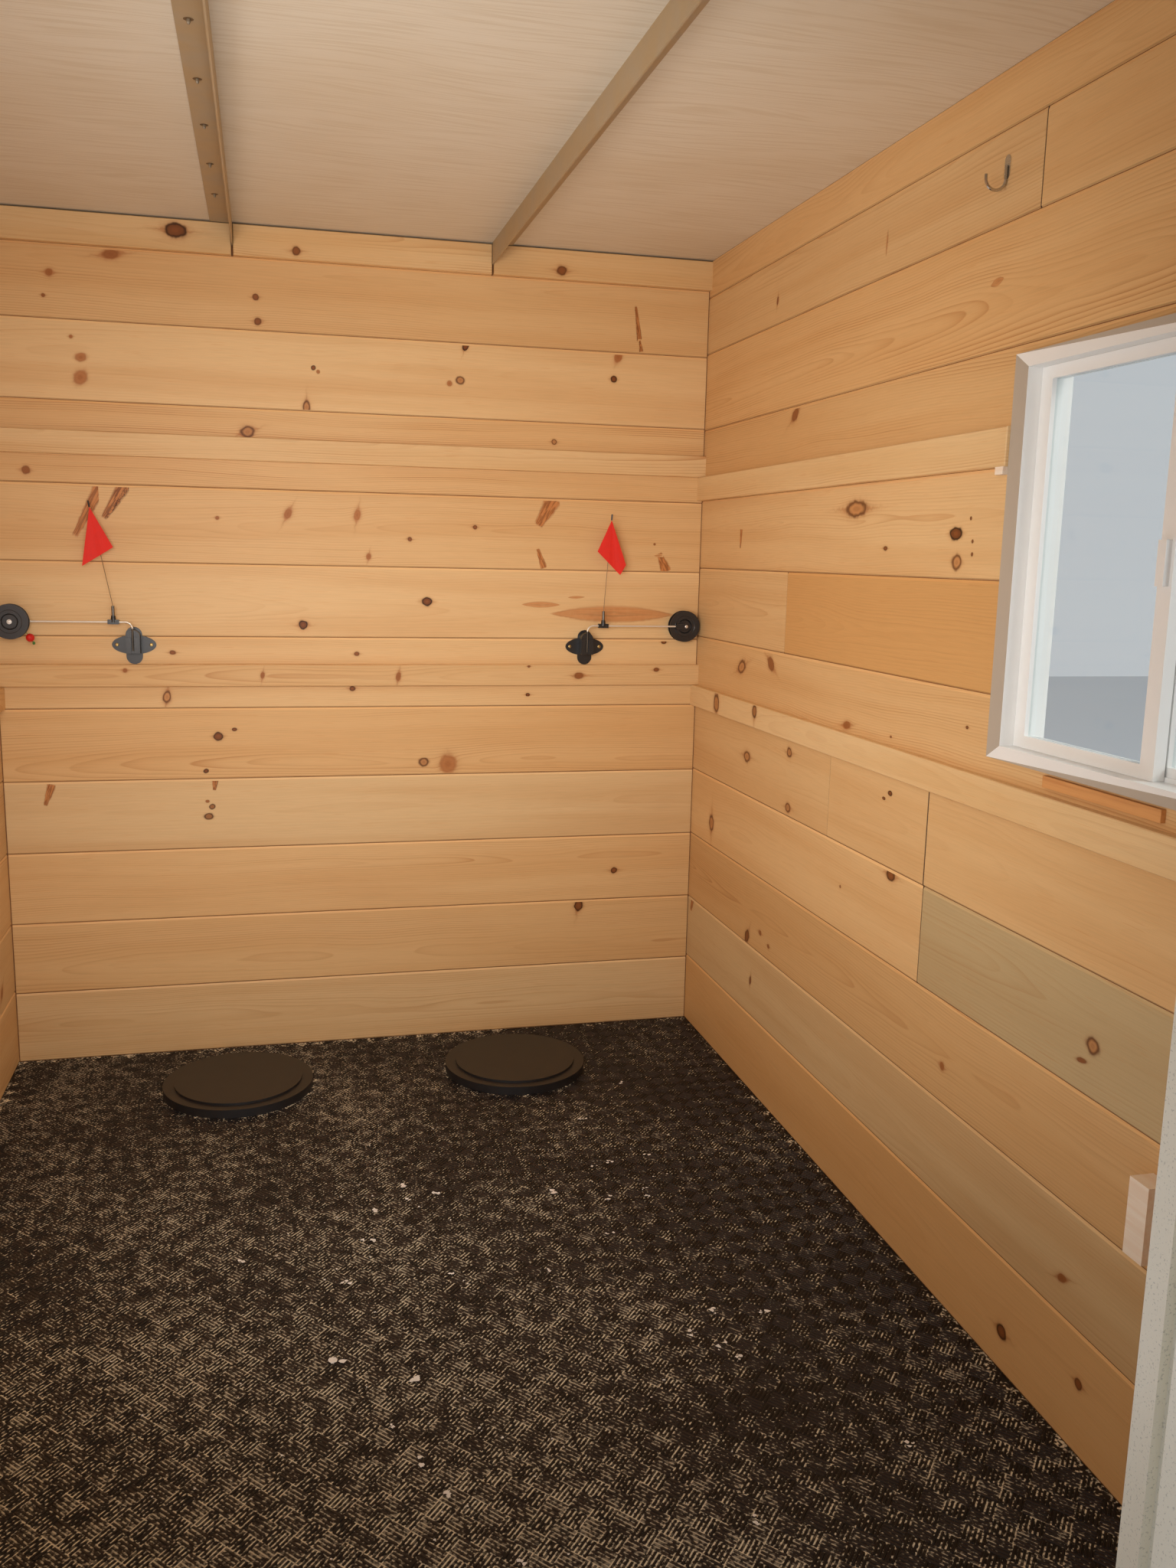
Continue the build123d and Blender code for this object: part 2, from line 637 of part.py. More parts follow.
keep(hinge_plates.part, "door_hinge_plates")

with BuildPart() as hinge_straps:
    for hinge_level in hinge_levels:
        low = hinge_level - knuckle / 2 + HINGE_CLEAR
        high = hinge_level + knuckle / 2 - HINGE_CLEAR
        with BuildSketch(door_plane(low)):
            Circle(HINGE_RADIUS)
        extrude(amount=high - low)
        leaf_block(0, HINGE_RADIUS + HINGE_PLATE_WIDTH, leaf_outside, leaf_outside + HINGE_PLATE, low, high)
        leaf_block(0, HINGE_RADIUS, leaf_outside, 0, low, high)
        with BuildSketch(door_plane(low)):
            Circle(HINGE_PIN + HINGE_CLEAR)
        extrude(amount=high - low, mode=Mode.SUBTRACT)
keep(hinge_straps.part, "door_hinge_straps")

# Wall reels: bracket, swinging rod arm with flag clamp, spool and flag
reel_y = END - REEL_STAND
arm_level = FLOOR + REEL_ARM_HEIGHT
bracket_level = FLOOR + REEL_BRACKET_HEIGHT
socket_low = bracket_level - REEL_SOCKET_DROP
socket_round = bracket_level + REEL_SOCKET_RISE - REEL_SOCKET_WIDTH / 2
rod_foot = socket_low + REEL_SOCKET_FLOOR + REEL_ROD_GAP
rod_clear = REEL_ROD / 2 + REEL_ROD_GAP
wall_face = Plane.XZ.offset(-END)
SPOOL_PROFILE = [
    (rod_clear + SPOOL_BORE_GAP, 0),
    (SPOOL_DIAMETER / 2, 0),
    (SPOOL_DIAMETER / 2, SPOOL_FLANGE),
    (SPOOL_CORE / 2, SPOOL_FLANGE),
    (SPOOL_CORE / 2, SPOOL_WIDTH - SPOOL_FLANGE),
    (SPOOL_DIAMETER / 2, SPOOL_WIDTH - SPOOL_FLANGE),
    (SPOOL_DIAMETER / 2, SPOOL_WIDTH),
    (SPOOL_DISH / 2 + SPOOL_DISH_DEPTH, SPOOL_WIDTH),
    (SPOOL_DISH / 2, SPOOL_WIDTH - SPOOL_DISH_DEPTH),
    (rod_clear + SPOOL_BORE_GAP, SPOOL_WIDTH - SPOOL_DISH_DEPTH),
]
# The right spool sits behind its rod, the left one is mounted round the other way, in front of it
for hand, side_name in ((-1, "left"), (1, "right")):
    pivot_x = hand * (SIDE - REEL_FROM_SIDE)
    with BuildPart() as bracket:
        with BuildSketch(wall_face):
            with Locations((pivot_x, bracket_level)):
                Ellipse(REEL_EAR_SPAN / 2, REEL_EAR_WIDTH / 2)
            with Locations((pivot_x, bracket_level + (REEL_TAB_RISE - REEL_TAB_DROP) / 2)):
                SlotOverall(REEL_TAB_RISE + REEL_TAB_DROP, REEL_TAB_WIDTH, rotation=90)
        extrude(amount=REEL_PLATE)
        with BuildSketch(wall_face):
            with Locations((pivot_x, (socket_low + socket_round) / 2)):
                Rectangle(REEL_SOCKET_WIDTH, socket_round - socket_low)
            with Locations((pivot_x, socket_round)):
                Circle(REEL_SOCKET_WIDTH / 2)
        extrude(amount=REEL_STAND + REEL_SOCKET_FRONT)
        with BuildSketch(Plane.XY.offset(socket_low + REEL_SOCKET_FLOOR)):
            with Locations((pivot_x, reel_y)):
                Circle(rod_clear)
            with Locations((pivot_x, reel_y - rod_clear)):
                Rectangle(REEL_CHANNEL, 2 * rod_clear)
        extrude(amount=REEL_SOCKET_RISE + REEL_SOCKET_DROP, mode=Mode.SUBTRACT)
        for cheek in (-1, 1):
            edges = sorted((pivot_x + cheek * REEL_CHEEK_GAP / 2, pivot_x + cheek * REEL_SOCKET_WIDTH / 2))
            block(
                *edges, reel_y - REEL_SOCKET_FRONT - REEL_CHEEK_PROUD, reel_y,
                socket_low, socket_low + REEL_CHEEK_HEIGHT,
            )
    keep(bracket.part, f"{side_name}_reel_bracket")

    reel_x = pivot_x + hand * REEL_ARM_LENGTH
    clamp_x = pivot_x + hand * REEL_CLAMP_OFFSET
    spool_near = reel_y + hand * SPOOL_FROM_ROD
    spool_far = spool_near + hand * SPOOL_WIDTH
    spool_back = max(spool_near, spool_far)
    cap_near = spool_far + hand * AXLE_CAP_GAP
    cap_far = cap_near + hand * AXLE_CAP_THICK
    hub_ends = sorted((spool_near - hand * AXLE_CAP_GAP, reel_y - hand * REEL_HUB_FRONT))
    with BuildPart() as arm:
        with BuildLine():
            FilletPolyline(
                (pivot_x, reel_y, rod_foot),
                (pivot_x, reel_y, arm_level),
                (reel_x, reel_y, arm_level),
                radius=REEL_ARM_BEND,
            )
            Line((reel_x, reel_y, arm_level), (reel_x, cap_far, arm_level))
        with BuildSketch(Plane(origin=(pivot_x, reel_y, rod_foot), z_dir=(0, 0, 1))):
            Circle(REEL_ROD / 2)
        sweep(transition=Transition.RIGHT)
        with BuildSketch(Plane.XZ.offset(-max(cap_near, cap_far))):
            with Locations((reel_x, arm_level)):
                Circle(AXLE_CAP / 2)
        extrude(amount=AXLE_CAP_THICK)
        with BuildSketch(Plane.XZ.offset(-hub_ends[1])):
            with Locations((reel_x - hand * (REEL_HUB_LENGTH - REEL_HUB_WIDTH) / 2, arm_level)):
                SlotOverall(REEL_HUB_LENGTH, REEL_HUB_WIDTH)
        extrude(amount=hub_ends[1] - hub_ends[0])
        block(
            clamp_x - REEL_CLAMP_WIDTH / 2, clamp_x + REEL_CLAMP_WIDTH / 2,
            reel_y - REEL_CLAMP_HEIGHT / 2, reel_y + REEL_CLAMP_HEIGHT / 2,
            arm_level - REEL_CLAMP_HEIGHT / 2, arm_level + REEL_CLAMP_HEIGHT / 2,
        )
        with BuildSketch(Plane.XY.offset(arm_level)):
            with Locations((clamp_x, reel_y)):
                Circle(REEL_BOSS_DIAMETER / 2)
        extrude(amount=REEL_BOSS_RISE, taper=REEL_BOSS_TAPER)
        with BuildSketch(Plane.XY.offset(arm_level)):
            with Locations((clamp_x, reel_y)):
                Circle(REEL_TUBE_DIAMETER / 2)
        extrude(amount=REEL_TUBE_RISE)
    keep(arm.part, f"{side_name}_reel_arm")

    with BuildPart() as spool:
        with BuildSketch(Plane(origin=(reel_x, spool_back, arm_level), x_dir=(1, 0, 0), z_dir=(0, 0, 1))):
            with BuildLine():
                Polyline(*[(radius, -depth) for radius, depth in SPOOL_PROFILE], close=True)
            make_face()
        revolve(axis=Axis((reel_x, spool_back, arm_level), (0, 1, 0)))
    keep(spool.part, f"{side_name}_reel_spool")

    lean, corners = FLAGS[side_name]
    wire_foot = Vector(clamp_x, reel_y, arm_level + REEL_TUBE_RISE + REEL_ROD_GAP)
    wire_up = Vector(hand * sin(radians(lean)), 0, cos(radians(lean)))
    cloth_top = wire_foot + wire_up * (FLAG_WIRE_LENGTH - FLAG_TIP_LENGTH)
    with BuildPart() as flag:
        with BuildSketch(Plane(origin=wire_foot, z_dir=wire_up)):
            Circle(FLAG_WIRE / 2)
        extrude(amount=FLAG_WIRE_LENGTH)
        with BuildSketch(Plane(origin=cloth_top, z_dir=wire_up)):
            Circle(FLAG_TIP_DIAMETER / 2)
        extrude(amount=FLAG_TIP_LENGTH)
        with BuildSketch(Plane.XZ.offset(-reel_y - FLAG_THICK / 2)):
            with BuildLine():
                Polyline(*[(cloth_top.X + x, cloth_top.Z + z) for x, z in corners], close=True)
            make_face()
        extrude(amount=FLAG_THICK)
    keep(flag.part, f"{side_name}_reel_flag")

# Coat hook on the right wall: an oval plate with a bent wire
hook_y = END - HOOK_FROM_BACK
hook_top = CEILING_LOW - HOOK_FROM_CEILING
hook_turn = hook_top - HOOK_PLATE_HEIGHT
hook_wire_x = SIDE - HOOK_PLATE_THICK - HOOK_WIRE / 4
hook_end_x = hook_wire_x - 2 * HOOK_RADIUS
with BuildPart() as hook:
    with BuildLine():
        Line((hook_wire_x, hook_y, hook_top - HOOK_PLATE_WIDTH), (hook_wire_x, hook_y, hook_turn))
        ThreePointArc(
            (hook_wire_x, hook_y, hook_turn),
            (hook_wire_x - HOOK_RADIUS, hook_y, hook_turn - HOOK_RADIUS),
            (hook_end_x, hook_y, hook_turn),
        )
        Line((hook_end_x, hook_y, hook_turn), (hook_end_x, hook_y, hook_turn + HOOK_TIP))
    with BuildSketch(Plane(origin=(hook_wire_x, hook_y, hook_top - HOOK_PLATE_WIDTH), z_dir=(0, 0, -1))):
        RegularPolygon(HOOK_WIRE / 2, HOOK_WIRE_SIDES)
    sweep()
    with BuildSketch(Plane.YZ.offset(SIDE - HOOK_PLATE_THICK)):
        with Locations((hook_y, hook_top - HOOK_PLATE_HEIGHT / 2)):
            SlotOverall(HOOK_PLATE_HEIGHT, HOOK_PLATE_WIDTH, rotation=90)
    extrude(amount=HOOK_PLATE_THICK)
keep(hook.part, "coat_hook")

# Wood block screwed low on the right wall
block_back = END - BLOCK_FROM_BACK
with BuildPart() as wood_block:
    block(
        SIDE - BLOCK_SIDE, SIDE, block_back - BLOCK_SIDE, block_back,
        FLOOR + BLOCK_LOW, FLOOR + BLOCK_LOW + BLOCK_HEIGHT,
    )
keep(wood_block.part, "wood_block")
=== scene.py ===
# Looks of the ice fishing hut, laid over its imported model: pine lining boards with
# their knots, mat ribs, outside sheets, screws, window and reel fittings, camera and light.
# Lengths are metres. X points right as seen from the door, Y to the back wall, Z up.
import cmath
import math
import random
from itertools import product

import bpy
from mathutils import Euler, Matrix, Vector


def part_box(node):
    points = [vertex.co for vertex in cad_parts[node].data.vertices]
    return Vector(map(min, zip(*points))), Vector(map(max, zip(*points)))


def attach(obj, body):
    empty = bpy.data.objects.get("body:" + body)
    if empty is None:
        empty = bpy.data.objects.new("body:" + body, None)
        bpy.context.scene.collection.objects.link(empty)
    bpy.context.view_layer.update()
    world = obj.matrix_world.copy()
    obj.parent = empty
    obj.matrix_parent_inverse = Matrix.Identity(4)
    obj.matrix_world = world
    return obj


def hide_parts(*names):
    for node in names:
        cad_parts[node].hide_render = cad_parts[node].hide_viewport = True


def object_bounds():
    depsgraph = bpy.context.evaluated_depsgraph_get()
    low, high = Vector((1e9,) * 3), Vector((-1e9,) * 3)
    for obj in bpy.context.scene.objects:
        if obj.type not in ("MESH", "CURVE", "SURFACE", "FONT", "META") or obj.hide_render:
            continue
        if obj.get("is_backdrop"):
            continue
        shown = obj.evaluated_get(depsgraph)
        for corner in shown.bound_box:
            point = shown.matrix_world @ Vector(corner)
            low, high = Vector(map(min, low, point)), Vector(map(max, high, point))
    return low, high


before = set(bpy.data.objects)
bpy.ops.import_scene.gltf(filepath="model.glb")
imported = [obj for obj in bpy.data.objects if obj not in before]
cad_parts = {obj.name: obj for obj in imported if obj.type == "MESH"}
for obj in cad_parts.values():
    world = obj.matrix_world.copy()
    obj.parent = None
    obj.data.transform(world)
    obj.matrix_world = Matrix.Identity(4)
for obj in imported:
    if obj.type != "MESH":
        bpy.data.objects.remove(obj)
cad_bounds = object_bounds()
chance = random.Random(11)

# Camera, found from the board seams in the photograph
CAMERA_AT = (-0.243, -2.0685, 1.534)
CAMERA_YAW, CAMERA_PITCH, CAMERA_ROLL = 14.03, -10.05, -1.22
CAMERA_LENS, CAMERA_SENSOR, CAMERA_NEAR = 29.43, 36.0, 0.02

# Lining boards. The bevel at the foot of a board (side 0) is darker, at its top (side 2) lighter: painted
# shade under each board and a painted highlight where light falls from above.
BOARD_PROUD = 0.0022
BOARD_BEVEL = 0.0018
BEVEL_UNDER, BEVEL_OVER = 0.0022, 0.0048
BEVEL_PAINTED_SHADE_AND_HIGHLIGHT = {0: 0.74, 2: 1.16}
BOARD_GAP = 0.0014
CORNER_INSET = BOARD_PROUD + 0.0025
STRIP_BEVEL = 0.0015
LEFT_KNOT_COUNT, FRONT_KNOT_COUNT = 46, 24
# Room without scattered knots round an opening, and at the ends and edges of a wall
KNOT_ROOM, KNOT_END, KNOT_EDGE = 0.03, 0.05, 0.04
# Knot patches lie over their board, each a little higher than the one before
PATCH_LIFT, PATCH_STEP = 0.00006, 0.05
KNOT_REACH = 5.0
FIGURE_REACH = 1.15
# Place, radius, darkness, reach and kind on a corner far from any knot
NO_KNOT = (50.0, 0.0, 0.001, 0.0, 1.0, 0.0)
NO_HOLE = (0, 0, 0, 0)
BACK_SEAMS = (0.178, 0.356, 0.534, 0.712, 0.89, 1.066, 1.243, 1.424, 1.613, 1.793)
FRONT_SEAMS = BACK_SEAMS + (1.93,)
SIDE_SEAMS = (0.185, 0.355, 0.535, 0.715, 0.89, 1.075, 1.255, 1.43, 1.61, 1.8, 1.94)
# Heights between which a knot of the right wall lies on the low rail
RAIL_KNOTS = (0.89, 0.945)
# End joints of the side boards: row number, distance from the back wall, width of the gap
RIGHT_JOINTS = (
    (3, 1.293, 0.003), (4, 0.88, 0.002), (4, 1.291, 0.0045), (6, 0.605, 0.002), (10, 1.5, 0.003),
)
LEFT_JOINTS = ((1, 1.62, 0.002), (4, 0.74, 0.002), (6, 0.95, 0.002), (9, 1.22, 0.002))
# Boards that stand out in the photograph, by row and piece: tone, strength of the growth
# lines, where the pith lies across the board, its depth, its slope, warmth of the colour
BACK_LOOKS = {
    (1, 0): (1, 0.9, 0.3, 0.03, 0.01, 0.45), (2, 0): (1.02, 0.8, 0.7, 0.02, -0.012, 0.4),
    (3, 0): (0.98, 0.4, 0.5, 0.05, 0.004, 0), (4, 0): (0.99, 0.9, 0.2, 0.016, 0.016, 0.5),
    (5, 0): (1.02, 0.5, -0.6, 0.03, 0.006, 0.2), (6, 0): (1.04, 0.5, 0.4, 0.06, -0.018, 0.1),
    (7, 0): (1, 0.9, 0.5, 0.01, 0.014, 0.3), (8, 0): (1, 1.5, -0.4, 0.03, 0.004, 0.3),
    (9, 0): (1.05, 0.4, 0.6, 0.05, 0.01, 0.05), (10, 0): (0.97, 0.8, 0.8, 0.012, 0.012, 0.35),
}
# Right wall: the dark tones of rows 1 and 2 and of the near piece of row 3, and their negative warmth, are
# painted shade low near the door; the other values are the boards' own look
RIGHT_LOOKS_AND_SHADE = {
    (0, 0): (0.95, 0.35, 0.5, 0.05, 0.01, 0.7), (1, 0): (0.9, 0.5, 0.3, 0.03, 0.012, -0.1),
    (2, 0): (0.88, 1.4, 0.5, 0.008, 0.02, 0.6), (3, 0): (1.02, 0.5, 0.4, 0.04, 0.01, 0.3),
    (3, 1): (0.82, 0.6, 0.6, 0.012, 0.024, -0.5), (4, 0): (0.98, 0.4, 0.5, 0.05, 0.006, 0.25),
    (4, 1): (0.99, 0.3, 0.5, 0.06, 0.006, 0.3), (4, 2): (0.98, 0.3, 0.5, 0.06, 0.01, 0.35),
    (5, 0): (0.98, 1.2, 0.2, 0.02, -0.014, 0.35), (6, 0): (0.99, 0.6, 0.5, 0.02, 0.02, 0.15),
    (6, 1): (0.91, 0.6, 0.4, 0.02, 0.016, 1), (7, 0): (1.03, 0.8, 0.6, 0.01, -0.02, 0.15),
    (9, 0): (1.02, 1.25, 0.35, 0.004, 0.026, 0.45),
}


def knot_table(*rows):
    """Knots in metres from rows in millimetres. Rows may leave out that a knot is round."""
    found = []
    for along, up, radius, *look in rows:
        found.append((along / 1000, up / 1000, radius / 1000, *look, *(1, 0, 0)[len(look) - 1:]))
    return found


# Knots of the back wall: distance from the right wall, height over the floor, radius,
# darkness (above 1 a dark ring around a pale heart), length over width, angle in degrees,
# kind where it isn't round (1 a spike that runs to a point, 2 a lens shaped stain)
BACK_KNOTS = knot_table(
    (1312, 2001, 15, 0.9, 1.5), (1040, 1976, 9, 0.8), (397, 1977, 10, 0.8, 1.2),
    (1457, 1941, 10, 0.6, 1.9, 8), (1592, 1893, 8, 0.5), (1136, 1869, 7, 0.8), (1132, 1814, 8, 0.8),
    (1607, 1842, 4, 0.7), (193, 1866, 8, 0.8, 5.5, -82, 1), (184, 1812, 6, 0.9, 2.4, -80, 1),
    (242, 1783, 10, 0.5, 1.6, 70), (634, 1787, 7, 1, 1.5, 70), (1552, 1755, 4, 0.5),
    (1532, 1710, 10, 0.35, 1.3, 10), (1535, 1665, 15, 0.35, 1.2, 60), (1004, 1715, 5.5, 0.9),
    (993, 1706, 5, 0.5), (647, 1704, 9, 1.4, 1.1), (674, 1695, 7, 0.4), (253, 1727, 8, 1),
    (1022, 1622, 8, 1.4, 1.8, 88), (1162, 1558, 12.5, 1.4, 1.15, 20), (406, 1565, 6, 1.4),
    (1700, 1608, 6, 0.6), (1664, 1451, 9, 0.7), (1532, 1362, 17, 0.3, 4.1, 62, 1),
    (1472, 1385, 18, 1, 2.7, 58, 1), (424, 1390, 26, 0.3, 1.6, 60, 1), (436, 1272, 10, 0.35, 2.7, -70, 1),
    (107, 1268, 17, 0.4, 1.6, -66, 1), (131, 1315, 3, 0.7), (120, 1286, 3, 0.6, 4, 4, 2),
    (1071, 1367, 8.5, 0.45, 1.5, 62), (1238, 1353, 4, 0.6), (608, 1347, 5, 0.8),
    (903, 1369, 8, 0.25, 1.6, 80), (773, 1313, 5, 0.8), (876, 1268, 6, 0.5, 1.3, 80),
    (730, 1158, 10, 1, 1.2), (1039, 1097, 10, 1), (1352, 1027, 5, 0.8, 1.3), (908, 1025, 5, 0.8, 1.2),
    (97, 1059, 5, 0.9, 1.4), (1369, 918, 8.5, 1.5, 1.7, 80), (466, 919, 4, 1, 1.3),
    (920, 937, 6, 0.9, 1.1), (1250, 819, 10, 0.9, 1.1), (1211, 836, 4, 0.9, 1.5),
    (739, 745, 10.5, 1.4, 1.1), (676, 739, 23, 0.3, 1.1, 90), (1282, 732, 5, 1, 1.2, 20),
    (1262, 698, 10, 0.8, 1.6, 84, 1), (1281, 655, 4, 0.6, 1.3), (1270, 641, 6, 1.3, 1.2, 20),
    (1279, 616, 8, 1.3, 1.3), (1652, 680, 12, 0.4, 2.4, 72, 1), (220, 436, 7.5, 0.9, 1.1),
    (318, 341, 11, 0.9, 1.3, 80), (240, 1131, 23.5, 0.22, 7.4, 0, 2), (434, 1154, 8.5, 0.22, 6.2, 0, 2),
    (340, 1174, 3.8, 0.6, 6.2, 2, 2),
)
BACK_RAIL_KNOTS = knot_table(
    (1462, 985, 5, 0.6), (1140, 972, 5, 0.6, 1.6, 80), (805, 969, 6, 0.6, 1.9, 80),
    (333, 970, 8, 0.7, 1.5), (121, 986, 5, 0.8, 1.4), (467, 995, 3, 0.8, 1.2),
)
# Knots of the right wall: distance from the back wall first
RIGHT_KNOTS = knot_table(
    (214, 918, 18, 1.4, 1.2, 90), (480, 929, 12, 1.3, 1.2, 90), (343, 1022, 14, 1.5, 1.7, 20),
    (531, 1045, 13, 0.7, 1.6, -30), (946, 958, 8, 0.6, 2, 10), (404, 810, 12, 1.5, 1.5),
    (663, 859, 10, 1.4, 1.2), (669, 735, 10, 1.4, 1.2), (168, 596, 16, 1.4, 1.2, 90),
    (1147, 856, 4.5, 1, 1.8), (1123, 842, 3, 0.9, 2), (1170, 704, 10, 0.9, 1.6), (958, 628, 3, 0.8),
    (456, 373, 12, 0.8, 1.4, 60), (594, 389, 5, 0.6, 1.3), (540, 406, 6, 0.6, 1.4),
    (490, 272, 6, 0.8, 1.8, 80), (36, 345, 16, 0.4, 1.8, 70, 1), (1798, 612, 11.5, 1.5, 1.15),
    (1776, 582, 4, 0.7, 3, 10), (1136, 961, 2, 0.9, 1.5), (1401, 1014, 2.5, 0.9, 1.5),
    (605, 1592, 11, 0.7, 1.7, 30), (935, 1382, 14, 1.5, 3), (1321, 1330, 10, 1, 1.9),
    (1330, 1283, 12, 1.5, 1.15), (1068, 1306, 3.5, 0.9, 2), (1366, 1354, 3, 0.9), (1376, 1317, 3, 0.9),
    (1377, 1296, 3, 0.9), (1001, 1859, 4, 0.9, 6, 86, 2), (301, 1330, 9, 0.7, 2.6, 86, 1),
    (1394, 1716, 7, 0.5, 2.8, 8, 2), (473, 1851, 5, 0.8, 1.6, 80), (1639, 66, 12, 0.9),
    (1837, 109, 8, 0.8), (1778, 242, 6, 0.6, 2, 20), (1400, 420, 7, 0.5),
)

# Mat: cells of the weave and the ribs in them
CELL_ACROSS, CELL_ALONG = 0.0431, 0.0486
RIBS_PER_CELL = 5
RIB_WIDTH, RIB_TOP = 0.004, 0.0028
RIB_HEIGHT = 0.001
RIB_END, RIB_SLOPE = 0.001, 0.0007
RIB_FACES = ((4, 6, 7, 5), (0, 2, 6, 4), (3, 1, 5, 7), (1, 0, 4, 5), (2, 3, 7, 6))
MAT_RIM = 0.003
# Room left free round the hole covers, by ribs and by flakes
RIB_ROOM, FLAKE_ROOM = 0.004, 0.02
# Flakes seen in the photograph: place on the floor across and along, size
FLAKES = (
    (-0.007, 0.386, 0.011), (0.061, 0.345, 0.008), (0.000, 0.331, 0.006), (0.289, 0.299, 0.01),
    (-0.068, 0.303, 0.009), (-0.097, 0.189, 0.006), (-0.075, 0.184, 0.008), (-0.132, 0.052, 0.008),
    (-0.317, 0.161, 0.008), (0.047, 0.042, 0.006), (0.224, 0.022, 0.006), (-0.165, -0.168, 0.013),
    (-0.047, -0.247, 0.01), (-0.061, -0.432, 0.007), (-0.029, -0.502, 0.009), (0.047, -0.645, 0.007),
    (-0.092, -0.347, 0.005),
)
FLAKE_CLUSTERS, FLAKE_CRUMBS = 16, 150
FLAKE_LIFT, FLAKE_CURL = 0.0003, 0.0012

# Reel fittings, from the pivot of the arm or the centre of the spool
CLAMP_OFFSET, CLAMP_HALF = 0.042, 0.0135
CLAMP_LOW, BOSS_TOP = -0.0075, 0.0155
HUB_HALF, HUB_REACH = 0.0085, 0.0285
TUBE_HALF, TUBE_TOP = 0.005, 0.0383
AXLE_HALF, AXLE_OUT, AXLE_LIFT = 0.0065, 0.012, 0.0002
ROD_HALF, ROD_TOP = 0.006, 0.002
EAR_SCREW, EAR_LEVEL, EAR_DEPTH, SLOT_FORWARD = 0.0395, 0.047, 0.004, 0.0017
# Rings on the spool's face: radius, thickness, depth behind the front of the flange, sides
SPOOL_RINGS = {
    "ring_0": (0.0165, 0.0008, 0.002, 48),
    "ring_1": (0.027, 0.0008, 0.0002, 48),
    "rim": (0.0398, 0.0012, 0.0016, 64),
}
# Left reel: bead from the front of the spool's axis, knot of the line from the bead, start of
# the line from the middle of the spool
BEAD_AT, BEAD_RADIUS = (0.0426, 0.004, -0.037), 0.01
LINE_KNOT, LINE_KNOT_RADIUS, LINE_RADIUS = (0.0075, 0, -0.0125), 0.0032, 0.0005
LINE_START = (0.0265, 0.002, -0.016)
# Flag cloths from the top of the wire, as the CAD outlines run. Ripples: height, count, start
FLAG_CLOTHS = {
    "left": ((0, 0), (0.049, -0.092), (-0.022, -0.137)),
    "right": ((0, 0), (0.041, -0.113), (0.026, -0.139), (-0.036, -0.08)),
}
FLAG_THICK, FLAG_SETBACK = 0.0006, 0.001
FLAG_STEPS, FLAG_PARTS = 18, 6
FLAG_RIPPLES, FLAG_REACH = ((0.0011, 9, 0.6), (0.0006, 21, 0.0)), 0.13
FLAG_TIP_LENGTH, FLAG_TIP_RADIUS, FLAG_WIRE_RADIUS = 0.015, 0.0021, 0.0008

# Screw tips through the ceiling angles: distance from the back wall and from the angle's edge
ANGLE_TIPS = (0.261, 0.487, 0.729, 0.964, 1.209, 1.45, 1.69, 1.935, 2.18)
TIP_EDGE, TIP_DEPTH, STAIN_LIFT = 0.02, 0.003, 0.00005

# Windows and outside: track round the glass, sheets, joint strips, base trim, corner trims and roof screws
WINDOW_FIN, WINDOW_TRACK = 0.028, 0.03
SHEET_THICK = 0.0012
TRIM_REACH, TRIM_OUT, TRIM_SCREW = 0.04, 0.0022, 0.022
TRIM_SCREWS, TRIM_SCREW_END = 8, 0.09
JOINT_STRIP, JOINT_THICK, JOINT_EASED = 0.03, 0.0026, 0.0006
HINGE_ROOM = 0.055
BASE_TRIM = 0.045
ROOF_RIB_PITCH, ROOF_RIB_GAPS, ROOF_RIB_HEIGHT = 0.229, 11, 0.019
ROOF_SCREW_PITCH, ROOF_SCREW_ASIDE, ROOF_WASHER = 0.3, 0.042, 0.001
# Screw heads and the like: radius, height, number of sides
HEADS = {
    "reel_screws": (0.0042, 0.0018, 14), "reel_screw_slots": (0.0013, 0.0003, 8),
    "axle_head": (0.0045, 0.0016, 16), "angle_screw_tips": (0.0032, 0.007, 8),
    "angle_screw_stains": (0.008, 0.0002, 14), "roof_washers": (0.0085, 0.0012, 12),
    "roof_screws": (0.0052, 0.004, 6), "trim_screws": (0.0055, 0.002, 10),
}
# Small wood in the room: reach into the room, distance from the back wall, height, from and to
SMALL_WOOD = {
    "window_shim": ((0.0015, 0.01), (1.635, 1.9), (0.9555, 0.9735)),
    "rail_end_block": ((0.002, 0.016), (1.45, 1.472), (1.418, 1.452)),
}
WOOD_EASED = 0.0008

(room_side, _, wall_low), (out_side, _, _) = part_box("right_wall")
(_, room_end, _), (_, out_end, _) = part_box("back_wall")
floor_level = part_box("floor_mat")[1].z
ceiling_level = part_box("ceiling_panel")[0].z
room_height = ceiling_level - floor_level
room_width = 2 * room_side
room_depth = 2 * room_end


def srgb(red, green, blue):
    """Linear colour of a display colour given from 0 to 255."""
    shares = [value / 255 for value in (red, green, blue)]
    return tuple(s / 12.92 if s <= 0.04045 else ((s + 0.055) / 1.055) ** 2.4 for s in shares) + (1.0,)


def operator(name, swapped=False):
    """A method of Wire that makes the math node of one sign."""
    def apply(self, other):
        return self.graph.math(name, *((other, self) if swapped else (self, other)))
    return apply


class Wire:
    """A shader value that adds and multiplies like a number."""

    __add__ = __radd__ = operator("ADD")
    __sub__ = operator("SUBTRACT")
    __rsub__ = operator("SUBTRACT", True)
    __mul__ = __rmul__ = operator("MULTIPLY")
    __truediv__ = operator("DIVIDE")

    def __init__(self, graph, socket):
        self.graph = graph
        self.socket = socket


